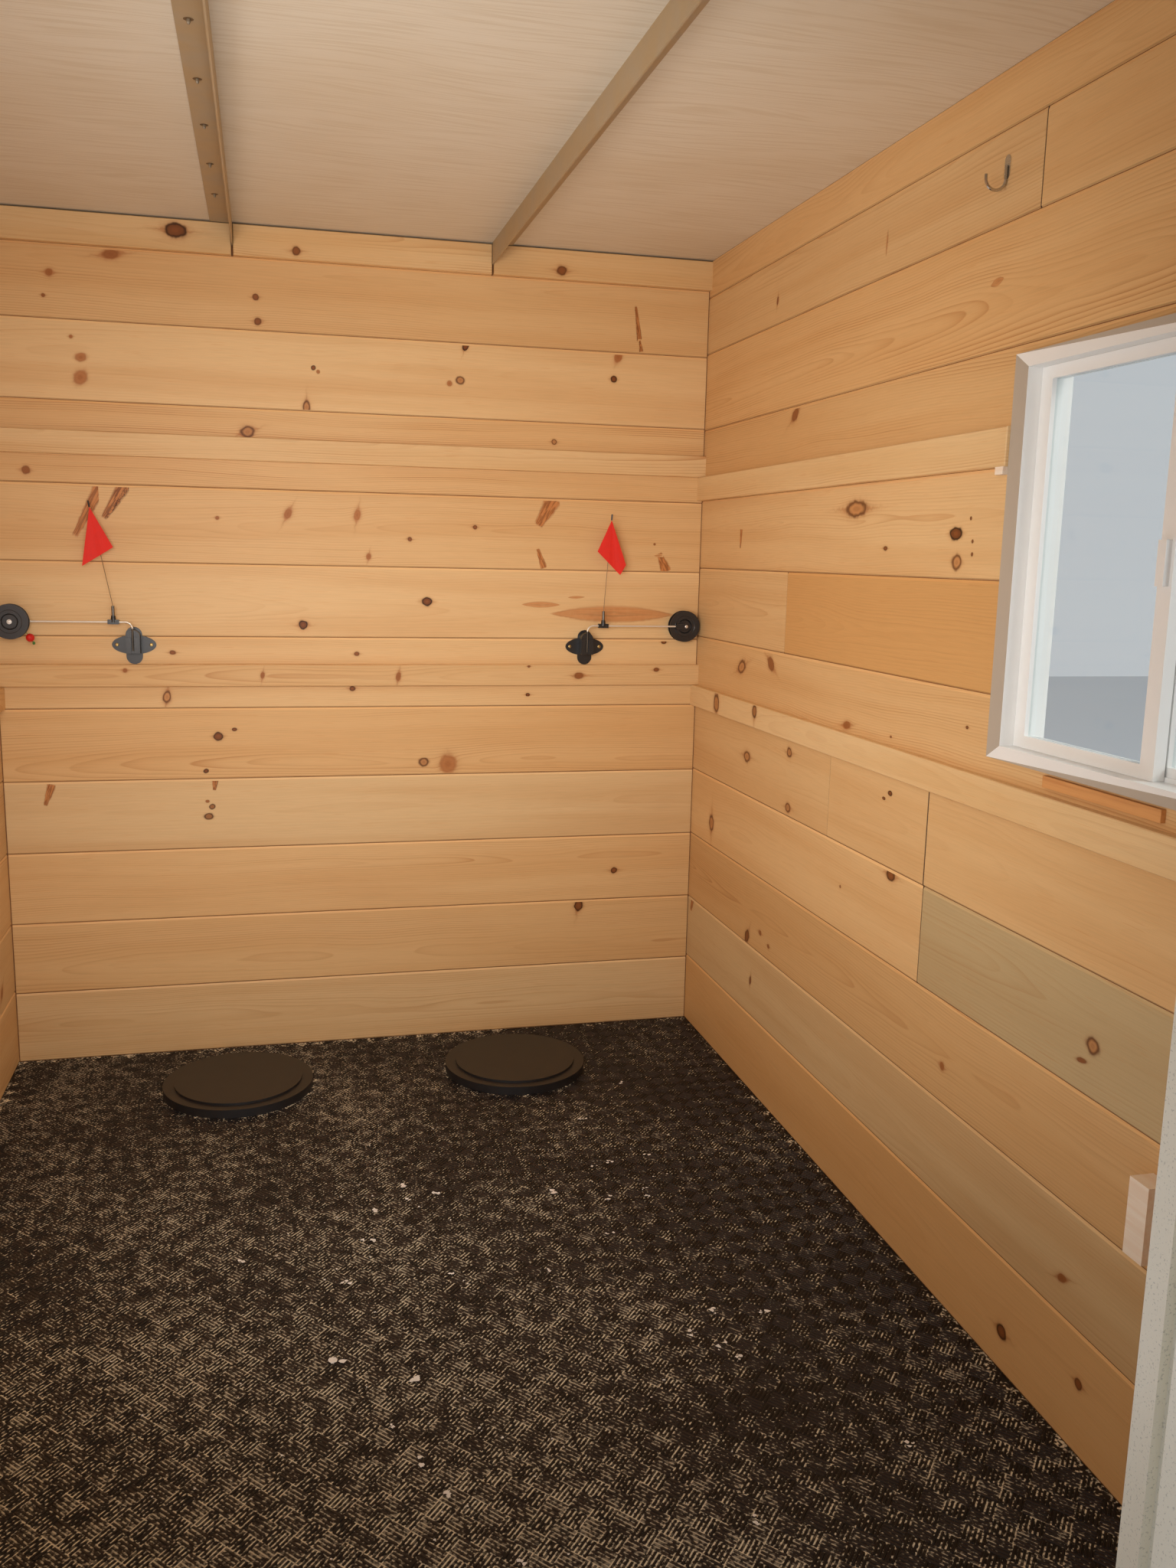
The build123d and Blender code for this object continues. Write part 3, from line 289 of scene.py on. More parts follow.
class Graph:
    """The nodes of one material. Three numbers in a tuple are a colour from 0 to 255."""

    def __init__(self, name):
        self.material = bpy.data.materials.new(name)
        self.material.use_nodes = True
        self.tree = self.material.node_tree
        self.tree.nodes.clear()

    def node(self, kind, feeds, **settings):
        """A new node. The feeds are the values of its inputs, by number or by name."""
        made = self.tree.nodes.new("ShaderNode" + kind)
        for key, value in settings.items():
            setattr(made, key, value)
        for key, value in feeds.items():
            socket = made.inputs[key]
            if isinstance(value, Wire):
                self.tree.links.new(value.socket, socket)
            elif isinstance(value, tuple) and len(value) == 3:
                socket.default_value = srgb(*value)[:len(socket.default_value)]
            else:
                socket.default_value = value
        return made

    def wire(self, kind, feeds=None, output=0, **settings):
        return Wire(self, self.node(kind, feeds or {}, **settings).outputs[output])

    def math(self, operation, first, second=0.0):
        return self.wire("Math", {0: first, 1: second}, operation=operation)

    def least(self, first, second):
        return self.math("MINIMUM", first, second)

    def most(self, first, second):
        return self.math("MAXIMUM", first, second)

    def size(self, value):
        return self.math("ABSOLUTE", value)

    def place(self):
        return self.wire("TexCoord", output="Object")

    def split(self, vector):
        return [Wire(self, output) for output in self.node("SeparateXYZ", {0: vector}).outputs]

    def join(self, x, y, z):
        return self.wire("CombineXYZ", {0: x, 1: y, 2: z})

    def attribute(self, name):
        return self.split(self.wire("Attribute", output="Vector", attribute_name=name))

    def noise(self, vector, scale=1.0, detail=2.0, dimensions="3D"):
        feeds = {"Vector": vector, "Scale": scale, "Detail": detail}
        return self.wire("TexNoise", feeds, noise_dimensions=dimensions)

    def flat(self, u, v, detail=1.0):
        """Noise in two dimensions, which is quicker on boards."""
        return self.noise(self.join(u, v, 0.0), 1.0, detail, "2D")

    def speck(self, value):
        return self.wire("TexWhiteNoise", {"W": value}, noise_dimensions="1D")

    def rise(self, value, low, high):
        """0 below low and 1 above high, smoothly between."""
        return self.wire("MapRange", {0: value, 1: low, 2: high}, interpolation_type="SMOOTHSTEP")

    def mix(self, share, first, second):
        return self.wire("Mix", {0: share, 6: first, 7: second}, 2, data_type="RGBA")

    def bright(self, colour, factor):
        return self.wire("VectorMath", {0: colour, "Scale": factor}, operation="SCALE")

    def finish(self, colour, roughness, metallic=0.0, coat=0.0, relief=None, depth=0.001, sheen=0.5):
        feeds = {
            "Base Color": colour, "Roughness": roughness, "Metallic": metallic, "Coat Weight": coat,
            "Coat Roughness": 0.3, "Specular IOR Level": sheen,
        }
        if relief is not None:
            feeds["Normal"] = self.wire("Bump", {"Strength": 1.0, "Distance": depth, "Height": relief})
        self.node("OutputMaterial", {"Surface": self.wire("BsdfPrincipled", feeds)})
        return self.material


def pine(name, light, dark, late_wood, strength):
    """Clear coated flat sawn pine. The mesh says where the pith and the knots lie."""
    g = Graph(name)
    along, across, _ = g.split(g.wire("UVMap", uv_map="grain"))
    seed, tone, contrast = g.attribute("board")
    pith, depth, slope = g.attribute("pith")
    warmth = g.attribute("shade")[0]
    p, q, radius = g.attribute("knot")
    darkness, reach, kind = g.attribute("look")
    layer = seed * 40
    figure = g.least(kind, 1)
    is_knot = 1 - figure
    from_knot = g.math("SQRT", p * p + q * q)
    fade = g.most(1 - from_knot / reach, 0)
    push = fade * fade / g.most(from_knot, 1) * (1 - figure * 0.8)
    bent = across - q * radius * push

    # Growth rings, seen as lines and arches: a sharp dark line after a slow rise
    sway = g.flat(along * 1.6 + layer, bent * 4, 1) - 0.5
    ripple = g.flat(along * 5 + layer, bent * 30, 1) - 0.5
    below = depth + slope * along + sway * 0.03
    aside = bent - pith + sway * 0.034
    ring = (g.math("SQRT", aside * aside + below * below) + ripple * 0.004) / 0.005
    step = g.math("FRACT", ring)
    late = step * step * step * (1 - g.rise(step, 0.93, 1.0))
    share = g.speck(g.math("FLOOR", ring) + layer)
    fading = g.rise(g.flat(along * 2 + layer, bent * 9, 1), 0.3, 0.62)
    dense = g.rise(g.flat(ring * 0.21 + layer, layer, 1), 0.34, 0.62)
    line = late * (0.3 + 0.7 * share) * contrast * (0.35 + 0.65 * fading) * (0.4 + 0.6 * dense) * 1.4

    # Fibre, a soft broad tone and short resin streaks
    fibre = g.flat(along * 10 + layer, bent * 420, 1) - 0.5
    band = g.flat(along * 0.8 + layer, bent * 14, 2)
    wood = g.mix(g.rise(band, 0.34, 0.72), light, dark)
    wood = g.mix(g.most(warmth, 0), wood, (230, 176, 112))
    # Negative warmth greys the wood: painted shade, used on low boards of the right wall
    wood = g.mix(g.most(warmth * -1, 0), wood, (204, 184, 138))
    wood = g.mix(g.least(line * strength, 0.9), wood, late_wood)
    wood = g.mix(g.rise(fibre, 0.17, 0.3) * 0.28, wood, late_wood)

    # Round knots: a brown heart in a black bark line, a thin reddish halo, tails along the grain
    uneven = g.flat(along * 70 + layer, across * 70, 1) - 0.5
    edge = from_knot * (1 + uneven * 0.4)
    tail_width = g.size(q + uneven * 0.8) * 4.0
    tail = g.math("EXPONENT", (tail_width + g.size(p) * 0.5) * -1)
    halo = g.math("EXPONENT", (1 - edge) * 2.6)
    glow = g.least(halo * 0.8 + tail * 2.0, 0.9) * fade * is_knot
    wood = g.mix(g.most(glow, 0), wood, (182, 112, 60))
    ringed = g.rise(darkness, 1.1, 1.5)
    darkness = g.least(darkness, 1)
    swirl = g.math("SINE", edge * 9) * 0.5 + 0.5
    heart = g.mix(darkness, (204, 130, 72), (124, 72, 38))
    heart = g.mix(swirl * 0.45, heart, (156, 92, 50))
    heart = g.mix(ringed * (0.92 - swirl * 0.25), heart, (212, 152, 96))
    inside = (1 - g.rise(edge, 0.74, 1.14)) * is_knot * (0.72 + g.rise(darkness, 0.3, 0.9) * 0.28)
    bark_off = (edge - 0.92) * (5.5 - ringed)
    bark = g.math("EXPONENT", bark_off * bark_off * -1) * g.rise(darkness, 0.55, 1.0) * is_knot
    wood = g.mix(inside, wood, heart)
    wood = g.mix(bark * (0.95 - ringed * 0.2), wood, g.mix(ringed, (34, 19, 11), (84, 44, 22)))

    # Spike knots that run to a point, and lens shaped heart stains
    lens = g.most(kind - 1, 0)
    pointed = 0.4 + 0.3 * (1 + p)
    rounded = 1 - p * p
    width = g.most(pointed + (rounded - pointed) * lens, 0.02)
    frayed = uneven * (0.24 - lens * 0.12)
    off_axis = g.size(q + frayed) / width
    shape = (1 - g.rise(off_axis, 0.66, 1.12)) * (1 - g.rise(g.size(p), 0.88, 1.02)) * figure
    streak = g.flat(p * 1.1 + layer, q * (3 + radius * 110), 2)
    arcs = g.rise(g.math("SINE", (g.size(p) * 4 + off_axis * 7)), 0.3, 0.95) * lens * 0.3
    dark_side = g.rise(q * -1 / width, -0.1, 0.8) * g.rise(darkness, 0.6, 1.0)
    specks = g.rise(g.flat(along * 260, across * 260, 1), 0.46, 0.58) * dark_side
    fill = g.rise(streak, 0.4, 0.58) * (0.6 + darkness * 0.4) * (1 - lens * 0.75) + arcs
    spike = g.mix(g.least(fill, 1), (206, 134, 76), (140, 82, 42))
    rim = g.rise(off_axis, 0.55, 0.98) * (0.2 + darkness * 0.5) * (1 - lens * 0.5)
    spike = g.mix(rim, spike, (138, 80, 42))
    spike = g.mix(specks * 0.85, spike, (60, 32, 18))
    wood = g.mix(shape * (0.96 - lens * 0.24 + uneven * 0.2), wood, spike)
    wood = g.bright(wood, tone * (1 + fibre * 0.14))
    return g.finish(wood, 0.46, sheen=0.18)


def plain(name, colour, roughness, spread=0.06, scale=9.0, coat=0.0, metallic=0.0):
    """One colour with a faint uneven tone."""
    g = Graph(name)
    patch = g.noise(g.place(), scale, 3) - 0.5
    return g.finish(g.bright(colour, 1 + patch * spread * 2), roughness + patch * 0.08, metallic, coat)


def speckled(name, colour, speck_colour):
    """Off white sheet with a fine grey speckle and a soft pebbled face."""
    g = Graph(name)
    spot = g.place()
    dots = g.rise(g.noise(spot, 420, 2), 0.6, 0.68)
    pebble = g.noise(spot, 160, 2)
    patch = g.noise(spot, 2.2, 3)
    low = g.split(spot)[2]
    grime = (1 - g.rise(low, 0.2, 0.75)) * g.rise(g.noise(spot, 5, 4), 0.4, 0.75)
    shade = g.mix(dots * 0.45, colour, speck_colour)
    shade = g.mix(g.rise(patch, 0.45, 0.75) * 0.1, shade, speck_colour)
    shade = g.mix(grime * 0.35, shade, (150, 138, 118))
    return g.finish(shade, 0.42, relief=pebble, depth=0.00025)


def whitewashed_plywood(name):
    """Ceiling sheet: thin white wash over wood, with faint streaks across the hut."""
    g = Graph(name)
    x, y, _ = g.split(g.place())
    wave = g.flat(x * 1.5, y * 7, 1)
    streak = g.flat(x * 5, y * 150 + wave * 16, 2)
    fine = g.flat(x * 18, y * 900, 0)
    wash = g.flat(x * 1.6, y * 1.6, 2)
    shade = g.mix(g.rise(streak, 0.42, 0.7) * 0.34, (232, 220, 200), (205, 184, 152))
    shade = g.mix(g.rise(wash, 0.45, 0.75) * 0.22, shade, (210, 186, 150))
    shade = g.bright(shade, 0.96 + fine * 0.08)
    return g.finish(shade, 0.62)


def rubber(name, rib):
    """Black mat with tan dust that settles in the grooves and wears off the ribs. Ribs of one direction of
    the weave are lighter, painted light where they catch it, and the mat grows paler towards the door and
    darker to the right, painted shade of the chair.
    """
    g = Graph(name)
    x, y, _ = g.split(g.place())
    patch = g.flat(x * 3.2, y * 3.2, 2)
    cell = g.flat((x + y) * 22, (x - y) * 22, 1)
    crumb = g.flat(x * 170, y * 170, 1)
    front = 1 - g.rise(y, -1.1, 0.3)
    u, v = x / CELL_ACROSS, y / CELL_ALONG
    turned = g.math("PINGPONG", g.math("ROUND", u + v) + g.math("ROUND", u - v), 1.0)
    # Paler towards the door; less dust to the right is painted shade of the chair
    spread = patch * 0.26 + cell * 0.46 + crumb * 0.8 + front * 0.12 - g.rise(x, 0.1, 0.7) * 0.09
    # Ribs of one direction get a lighter base and more pale: painted light where they catch the light
    if rib:
        dust_and_painted_light = g.rise(spread, 0.87, 1.08) * (0.16 + turned * 0.16)
        base = g.mix(turned, (27, 25, 27), (50, 43, 41))
    else:
        dust_and_painted_light = g.rise(spread, 0.73, 0.93) * (1 - turned * 0.3)
        base = (32, 28, 28)
    shade = g.mix(dust_and_painted_light, base, (240, 228, 202))
    return g.finish(shade, 0.45 + dust_and_painted_light * 0.3, sheen=0.22)


def sawn(name, light, dark, axis):
    """Rough sawn timber with its grain along X or Y."""
    g = Graph(name)
    x, y, z = g.split(g.place())
    along, across = (x, y) if axis == "X" else (y, x)
    sway = g.noise(g.join(along * 1.5, across * 6, z * 6), 1, 2)
    line = g.noise(g.join(along * 3, across * 120 + sway * 8, z * 120), 1, 3)
    patch = g.noise(g.join(along * 2, across * 10, z * 10), 1, 3)
    shade = g.mix(g.rise(line, 0.4, 0.68) * 0.55, light, dark)
    shade = g.mix(g.rise(patch, 0.45, 0.8) * 0.45, shade, dark)
    return g.finish(shade, 0.78, relief=line, depth=0.0006)


def plywood(name):
    g = Graph(name)
    x, y, z = g.split(g.place())
    plies = g.math("SINE", z * 1750.0) * 0.5 + 0.5
    line = g.noise(g.join(x * 9, y * 90, z * 4), 1, 3)
    shade = g.mix(plies * 0.6, (182, 146, 98), (134, 99, 62))
    shade = g.mix(g.rise(line, 0.45, 0.7) * 0.35, shade, (120, 88, 55))
    return g.finish(shade, 0.75, relief=line, depth=0.0005)


def steel(name, colour, roughness, dusty):
    """Metal, with a dull film of dust where dusty is above 0."""
    g = Graph(name)
    spot = g.place()
    patch = g.noise(spot, 14, 4)
    x, y, z = g.split(spot)
    scratch = g.noise(g.join(x * 40, y * 40, z * 400), 1, 2)
    film = g.rise(patch, 0.35, 0.7) * dusty
    shade = g.mix(film, colour, (190, 172, 146))
    return g.finish(shade, roughness + scratch * 0.12 + film * 0.2, 1.0 - dusty * 0.8)


def glass(name):
    """Clear pane that lets light through as a thin sheet does."""
    g = Graph(name)
    slant = g.wire("LayerWeight", output="Facing")
    share = slant * slant * slant * slant * slant * 0.9 + 0.04
    clear = g.wire("BsdfTransparent", {0: (0.94, 0.97, 0.97, 1.0)})
    shine = g.wire("BsdfGlossy", {"Roughness": 0.03})
    g.node("OutputMaterial", {"Surface": g.wire("MixShader", {0: share, 1: clear, 2: shine})})
    return g.material


PINE = pine("pine_boards", (235, 198, 146), (226, 184, 131), (190, 124, 66), 0.62)
PINE_TRIM = pine("pine_strips", (238, 203, 152), (230, 190, 136), (192, 126, 68), 0.76)
# Wall core darker than the boards: painted shade for the seams, where only the wall behind shows
PINE_CORE_SEAM_SHADE = sawn("pine_core_seam_shade", (150, 98, 54), (112, 70, 38), "X")
# Painted shade in the open end joints of the boards
GAP_SHADE = plain("board_gap_painted_shade", (70, 44, 26), 0.8)
CEILING = whitewashed_plywood("whitewashed_ceiling")
OFF_WHITE = speckled("off_white_door", (234, 228, 212), (150, 148, 138))
CLADDING = speckled("off_white_cladding", (200, 196, 184), (150, 148, 140))
MAT = rubber("mat_grooves", False)
MAT_RIB = rubber("mat_ribs", True)
RUNNER = sawn("runner_timber", (128, 98, 66), (82, 60, 40), "Y")
JOIST = sawn("joist_timber", (196, 158, 108), (150, 112, 70), "X")
DECK = plywood("deck_plywood")
ANGLE = steel("angle_steel", (192, 168, 132), 0.55, 0.75)
ROOF = plain("roof_paint", (150, 153, 152), 0.42, 0.05, 3.0, 0.1)
TRIM_METAL = plain("trim_metal", (160, 161, 158), 0.38, 0.04, 6.0, 0.1)
# The frame's taupe is painted shade on white vinyl; the tracks and sashes keep the white
SHADED_VINYL = plain("white_vinyl", (190, 178, 163), 0.38, 0.04, 7.0)
VINYL_TRACK = plain("white_track", (250, 249, 246), 0.4, 0.03, 7.0)
GASKET_AND_SLOT_SHADE = plain("grey_gasket_and_slot_shade", (70, 68, 66), 0.6)
GLASS = glass("clear_glass")
BRIGHT = steel("bright_steel", (236, 232, 224), 0.3, 0.35)
HOOK = steel("hook_steel", (196, 190, 180), 0.2, 0.0)
SCREW = steel("screw_steel", (172, 164, 148), 0.38, 0.1)
BLACK = plain("black_moulding", (30, 29, 30), 0.36, 0.1, 30.0, 0.2)
BLACK_DUSTY = plain("black_cover", (34, 31, 31), 0.5, 0.22, 22.0, 0.1)
RED_CLOTH = plain("red_cloth", (238, 42, 28), 0.72, 0.08, 60.0)
RED_BEAD = plain("red_bead", (214, 32, 28), 0.3)
GREEN_LINE = plain("green_line", (64, 120, 50), 0.5)
BLACK_GLOSS = plain("black_gloss", (40, 39, 40), 0.22, 0.06, 30.0, 0.3)
ROD = plain("bright_rod", (238, 228, 212), 0.32, 0.04, 30.0, 0.0, 0.35)
# Painted shade: the rod where it runs down inside the bracket's slot
ROD_PAINTED_SHADE = steel("rod_in_painted_shade", (74, 70, 66), 0.4, 0.2)
GUN_METAL = steel("gun_metal", (120, 116, 110), 0.34, 0.0)
DARK_WIRE = steel("dark_wire", (140, 114, 86), 0.45, 0.3)
BRASS = steel("brass_screw", (214, 184, 116), 0.32, 0.0)
BLOCK_PINE = sawn("block_pine", (254, 238, 218), (244, 216, 188), "Y")
ORANGE_PINE = sawn("orange_pine", (224, 160, 96), (190, 120, 62), "Y")
STAIN = plain("screw_stain", (110, 82, 52), 0.7)
FLAKE = plain("pale_flakes", (248, 244, 240), 0.8, 0.12, 40.0)


def make_mesh(name, points, faces, material, body="hut"):
    """Mesh object from points and faces that rides on one body of the model."""
    mesh = bpy.data.meshes.new(name)
    mesh.from_pydata([tuple(point) for point in points], [], faces)
    mesh.update()
    mesh.materials.append(material)
    made = bpy.data.objects.new(name, mesh)
    bpy.context.scene.collection.objects.link(made)
    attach(made, body)
    return made


class Wall:
    """Frame of one wall: along it, up from the floor, and out into the room."""

    def __init__(self, origin, along, out):
        self.origin = Vector(origin)
        self.along = Vector(along)
        self.out = Vector(out)
        self.turned = self.along.cross(Vector((0, 0, 1))).dot(self.out) < 0

    def point(self, along, up, out):
        return self.origin + self.along * along + Vector((0, 0, up)) + self.out * out

    def facing(self, corners):
        """The corners in the order that makes their face look into the room."""
        return tuple(corners) if self.turned else tuple(corners)[::-1]


# Back wall from the right, side walls from the back, front wall from the left
back_side = Wall((room_side, room_end, floor_level), (-1, 0, 0), (0, -1, 0))
right_side = Wall((room_side, room_end, floor_level), (0, -1, 0), (-1, 0, 0))
left_side = Wall((-room_side, room_end, floor_level), (0, -1, 0), (1, 0, 0))
front_side = Wall((-room_side, -room_end, floor_level), (1, 0, 0), (0, 1, 0))


def around(left, right, bottom, top):
    return (left, bottom), (right, bottom), (right, top), (left, top)


class Lining:
    """Bevelled boards on one wall, with knot patches that share the boards' grain."""

    def __init__(self, wall, proud=BOARD_PROUD, bevel=BOARD_BEVEL):
        self.wall = wall
        self.proud = proud
        self.bevel = bevel
        self.is_board = bevel == BOARD_BEVEL
        self.under, self.over = (BEVEL_UNDER, BEVEL_OVER) if self.is_board else (bevel, bevel)
        self.corners, self.faces, self.boards = [], [], []

    def new_marks(self, bottom, top, look=None):
        """Look of one board: seed, tone and contrast, where its pith lies, and its warmth."""
        height = top - bottom
        seed, tone, contrast = chance.random(), chance.uniform(0.92, 1.06), chance.uniform(0.35, 1.1)
        pith = (bottom + top) / 2 + height * chance.uniform(-0.7, 0.7)
        depth, slope = chance.uniform(0.006, 0.06), chance.uniform(-0.018, 0.018)
        warmth = chance.uniform(0, 0.5)
        if look:
            tone, contrast, share, depth, slope, warmth = look
            pith = bottom + height * share
        return seed, tone, contrast, pith, depth, slope, warmth, 0.0, 0.0

    def corner(self, along, up, out, marks, knot=NO_KNOT):
        self.corners.append((self.wall.point(along, up, out), (along, up), marks + knot))
        return len(self.corners) - 1

    def painted_light_copy(self, number, factor):
        """A copy of a corner with a lighter or darker board tone, for the painted highlight and painted
        shade of a bevel.
        """
        point, grain, marks = self.corners[number]
        self.corners.append((point, grain, (marks[0], marks[1] * factor) + marks[2:]))
        return len(self.corners) - 1

    def slab(self, left, right, bottom, top, marks, edges=(True, True, True, True)):
        """One board or part of one. Only the edges marked True are bevelled."""
        widths = (self.bevel, self.bevel, self.under, self.over)
        inset = [width if edge else 0.0 for width, edge in zip(widths, edges)]
        whole = (left, right, bottom, top)
        front = (left + inset[0], right - inset[1], bottom + inset[2], top - inset[3])
        rings = ((whole, 0.0), (whole, self.proud - self.bevel), (front, self.proud))
        loops = [[self.corner(a, b, out, marks) for a, b in around(*ring)] for ring, out in rings]
        for outer, inner in zip(loops, loops[1:]):
            for side in range(4):
                after = (side + 1) % 4
                corners = (outer[side], outer[after], inner[after], inner[side])
                # The top bevel gets a painted highlight and the foot bevel painted shade
                if self.is_board and inner is loops[2] and side in BEVEL_PAINTED_SHADE_AND_HIGHLIGHT and edges[2 + side // 2]:
                    corners = [self.painted_light_copy(number, BEVEL_PAINTED_SHADE_AND_HIGHLIGHT[side]) for number in corners]
                self.faces.append(self.wall.facing(corners))
        self.faces.append(self.wall.facing(loops[2]))
        self.boards.append((*front, marks))

    def cut_board(self, left, right, low, high, marks, hole):
        """One board, cut around a hole that is given by its left, right, low and high."""
        cuts = [left, right]
        if hole[2] < high and hole[3] > low:
            cuts += [at for at in hole[:2] if left < at < right]
        cuts.sort()
        for start, stop in zip(cuts, cuts[1:]):
            spans = [(low, high)]
            if hole[0] < (start + stop) / 2 < hole[1]:
                spans = [(low, min(high, hole[2])), (max(low, hole[3]), high)]
            for bottom, top in spans:
                if top - bottom > self.bevel * 3:
                    self.slab(start, stop, bottom, top, marks, (False, False, bottom == low, top == high))

    def rows(self, seams, length, height, joints=(), hole=NO_HOLE, looks=None, inset=0.0):
        """Boards in rows, with open end joints, cut around a hole."""
        levels = [0.0, *seams, height]
        for row, (bottom, top) in enumerate(zip(levels, levels[1:])):
            gaps = sorted(joint[1:] for joint in joints if joint[0] == row)
            ends = [(inset, 0.0), *gaps, (length - inset, 0.0)]
            for piece, ((start, start_gap), (stop, stop_gap)) in enumerate(zip(ends, ends[1:])):
                marks = self.new_marks(bottom, top, (looks or {}).get((row, piece)))
                left, right = start + start_gap / 2, stop - stop_gap / 2
                self.cut_board(left, right, bottom + BOARD_GAP / 2, top - BOARD_GAP / 2, marks, hole)

    def knots(self, knots):
        """One flat patch for each knot, as wide as its grain is bent, cut to its board."""
        hand = -1 if self.wall.turned else 1
        sizes = []
        for _, _, radius, _, stretch, angle, _ in knots:
            turn = cmath.rect(radius, math.radians(angle))
            x, y = turn.real, turn.imag
            sizes.append((math.hypot(stretch * x, y), math.hypot(stretch * y, x)))
        for number, (along, up, radius, dark, stretch, angle, figure) in enumerate(knots):
            half_a, half_b = sizes[number]
            reach = FIGURE_REACH if figure else KNOT_REACH
            for other, knot in enumerate(knots):
                if other != number:
                    room_a = abs(along - knot[0]) / (half_a + sizes[other][0])
                    room_b = abs(up - knot[1]) / (half_b + sizes[other][1])
                    reach = min(reach, max(room_a, room_b, FIGURE_REACH))
            turn = cmath.rect(1, math.radians(-angle * hand))
            lift = self.proud + PATCH_LIFT * (1 + number * PATCH_STEP)
            for left, right, bottom, top, marks in self.boards:
                if not (left <= along <= right and bottom <= up <= top):
                    continue
                low_a, high_a = max(left, along - half_a * reach), min(right, along + half_a * reach)
                low_b, high_b = max(bottom, up - half_b * reach), min(top, up + half_b * reach)
                corners = []
                for a, b in around(low_a, high_a, low_b, high_b):
                    off = complex(a - along, b - up) * turn / radius
                    p = off.real / stretch * (hand if figure else 1)
                    knot = (p, off.imag, radius, dark, reach, figure)
                    corners.append(self.corner(a, b, lift, marks, knot))
                self.faces.append(self.wall.facing(corners))
                break

    def build(self, name, material, slot="pine"):
        made = make_mesh(name, [point for point, _, _ in self.corners], self.faces, material)
        mesh = made.data
        layer = mesh.uv_layers.new(name="grain")
        for loop in mesh.loops:
            layer.data[loop.index].uv = self.corners[loop.vertex_index][1]
        for number, title in enumerate(("board", "pith", "shade", "knot", "look")):
            store = mesh.attributes.new(title, "FLOAT_VECTOR", "POINT")
            rows = [marks[number * 3:number * 3 + 3] for _, _, marks in self.corners]
            store.data.foreach_set("vector", [value for row in rows for value in row])
        return made


# Openings in the lining, as along low, along high, up low, up high
window_low, window_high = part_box("right_window_frame")
window = (
    room_end - window_high.y + WINDOW_FIN, room_end - window_low.y - WINDOW_FIN,
    window_low.z + WINDOW_FIN - floor_level, window_high.z - WINDOW_FIN - floor_level,
)
frame_low, frame_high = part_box("door_frame")
doorway = (frame_low.x + room_side, frame_high.x + room_side, -0.1, frame_high.z - floor_level)
strip_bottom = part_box("back_top_strip")[0].z - floor_level


def random_knots(count, length, height, hole):
    """Scattered knots for a wall that the photograph doesn't show."""
    left, right, low, high = hole
    found = []
    while len(found) < count:
        along = chance.uniform(KNOT_END, length - KNOT_END)
        up = chance.uniform(KNOT_EDGE, height - KNOT_ROOM)
        over = left - KNOT_ROOM < along < right + KNOT_ROOM
        if not (over and low - KNOT_ROOM < up < high + KNOT_ROOM):
            radius = chance.choice((0.004, 0.006, 0.008, 0.01, 0.013))
            dark, stretch = chance.uniform(0.3, 1.0), chance.uniform(1.0, 1.6)
            found.append((along, up, radius, dark, stretch, chance.uniform(0, 180), 0))
    return found


def end_gaps(name, wall, seams, joints):
    """Painted shade: a dark sheet in the depth of the open joints between board ends."""
    levels = [0.0, *seams, room_height]
    points, faces = [], []
    for row, along, gap in joints:
        faces.append(wall.facing(range(len(points), len(points) + 4)))
        for at, level in around(along - gap / 2, along + gap / 2, levels[row], levels[row + 1]):
            points.append(wall.point(at, level, BOARD_PROUD - BOARD_BEVEL / 2))
    make_mesh(name, points, faces, GAP_SHADE)


def on_rail(knot):
    return RAIL_KNOTS[0] < knot[1] < RAIL_KNOTS[1]


back_lining = Lining(back_side)
back_lining.rows(BACK_SEAMS, room_width, strip_bottom, looks=BACK_LOOKS, inset=CORNER_INSET)
back_lining.knots([knot for knot in BACK_KNOTS if knot[1] < strip_bottom])
back_lining.build("back_lining_boards", PINE)

for side, wall, joints, looks in (
    ("right", right_side, RIGHT_JOINTS, RIGHT_LOOKS_AND_SHADE), ("left", left_side, LEFT_JOINTS, None),
):
    lining = Lining(wall)
    lining.rows(SIDE_SEAMS, room_depth, room_height, joints, window, looks)
    end_gaps(side + "_board_end_gap_shade", wall, SIDE_SEAMS, joints)
    if side == "right":
        lining.knots([knot for knot in RIGHT_KNOTS if not on_rail(knot)])
    else:
        lining.knots(random_knots(LEFT_KNOT_COUNT, room_depth, room_height, window))
    lining.build(side + "_lining_boards", PINE)

front_lining = Lining(front_side)
front_lining.rows(FRONT_SEAMS, room_width, room_height, hole=doorway, inset=CORNER_INSET)
front_lining.knots(random_knots(FRONT_KNOT_COUNT, room_width, room_height, doorway))
front_lining.build("front_lining_boards", PINE)


def solids_of(node):
    """Lowest and highest corner of each separate block in a CAD node."""
    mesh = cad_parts[node].data
    blocks = []
    for face in mesh.polygons:
        spots = {tuple(round(value, 6) for value in mesh.vertices[index].co) for index in face.vertices}
        for block in [block for block in blocks if block & spots]:
            spots |= block
            blocks.remove(block)
        blocks.append(spots)
    return [[Vector(map(end, zip(*spots))) for end in (min, max)] for spots in blocks]


def strips(node, wall, knots=()):
    """Stand-in for a CAD node of strips: the same sizes, with eased edges and grain."""
    lining = None
    for low, high in solids_of(node):
        corners = [low - wall.origin, high - wall.origin]
        start, stop = sorted(corner.dot(wall.along) for corner in corners)
        proud = max(corner.dot(wall.out) for corner in corners)
        lining = lining or Lining(wall, proud, STRIP_BEVEL)
        bottom, top = low.z - floor_level, high.z - floor_level
        lining.slab(start, stop, bottom, top, lining.new_marks(bottom, top))
    lining.knots(knots)
    made = lining.build(node.removesuffix("s") + "_boards", PINE_TRIM, "pine_trim")
    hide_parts(node)


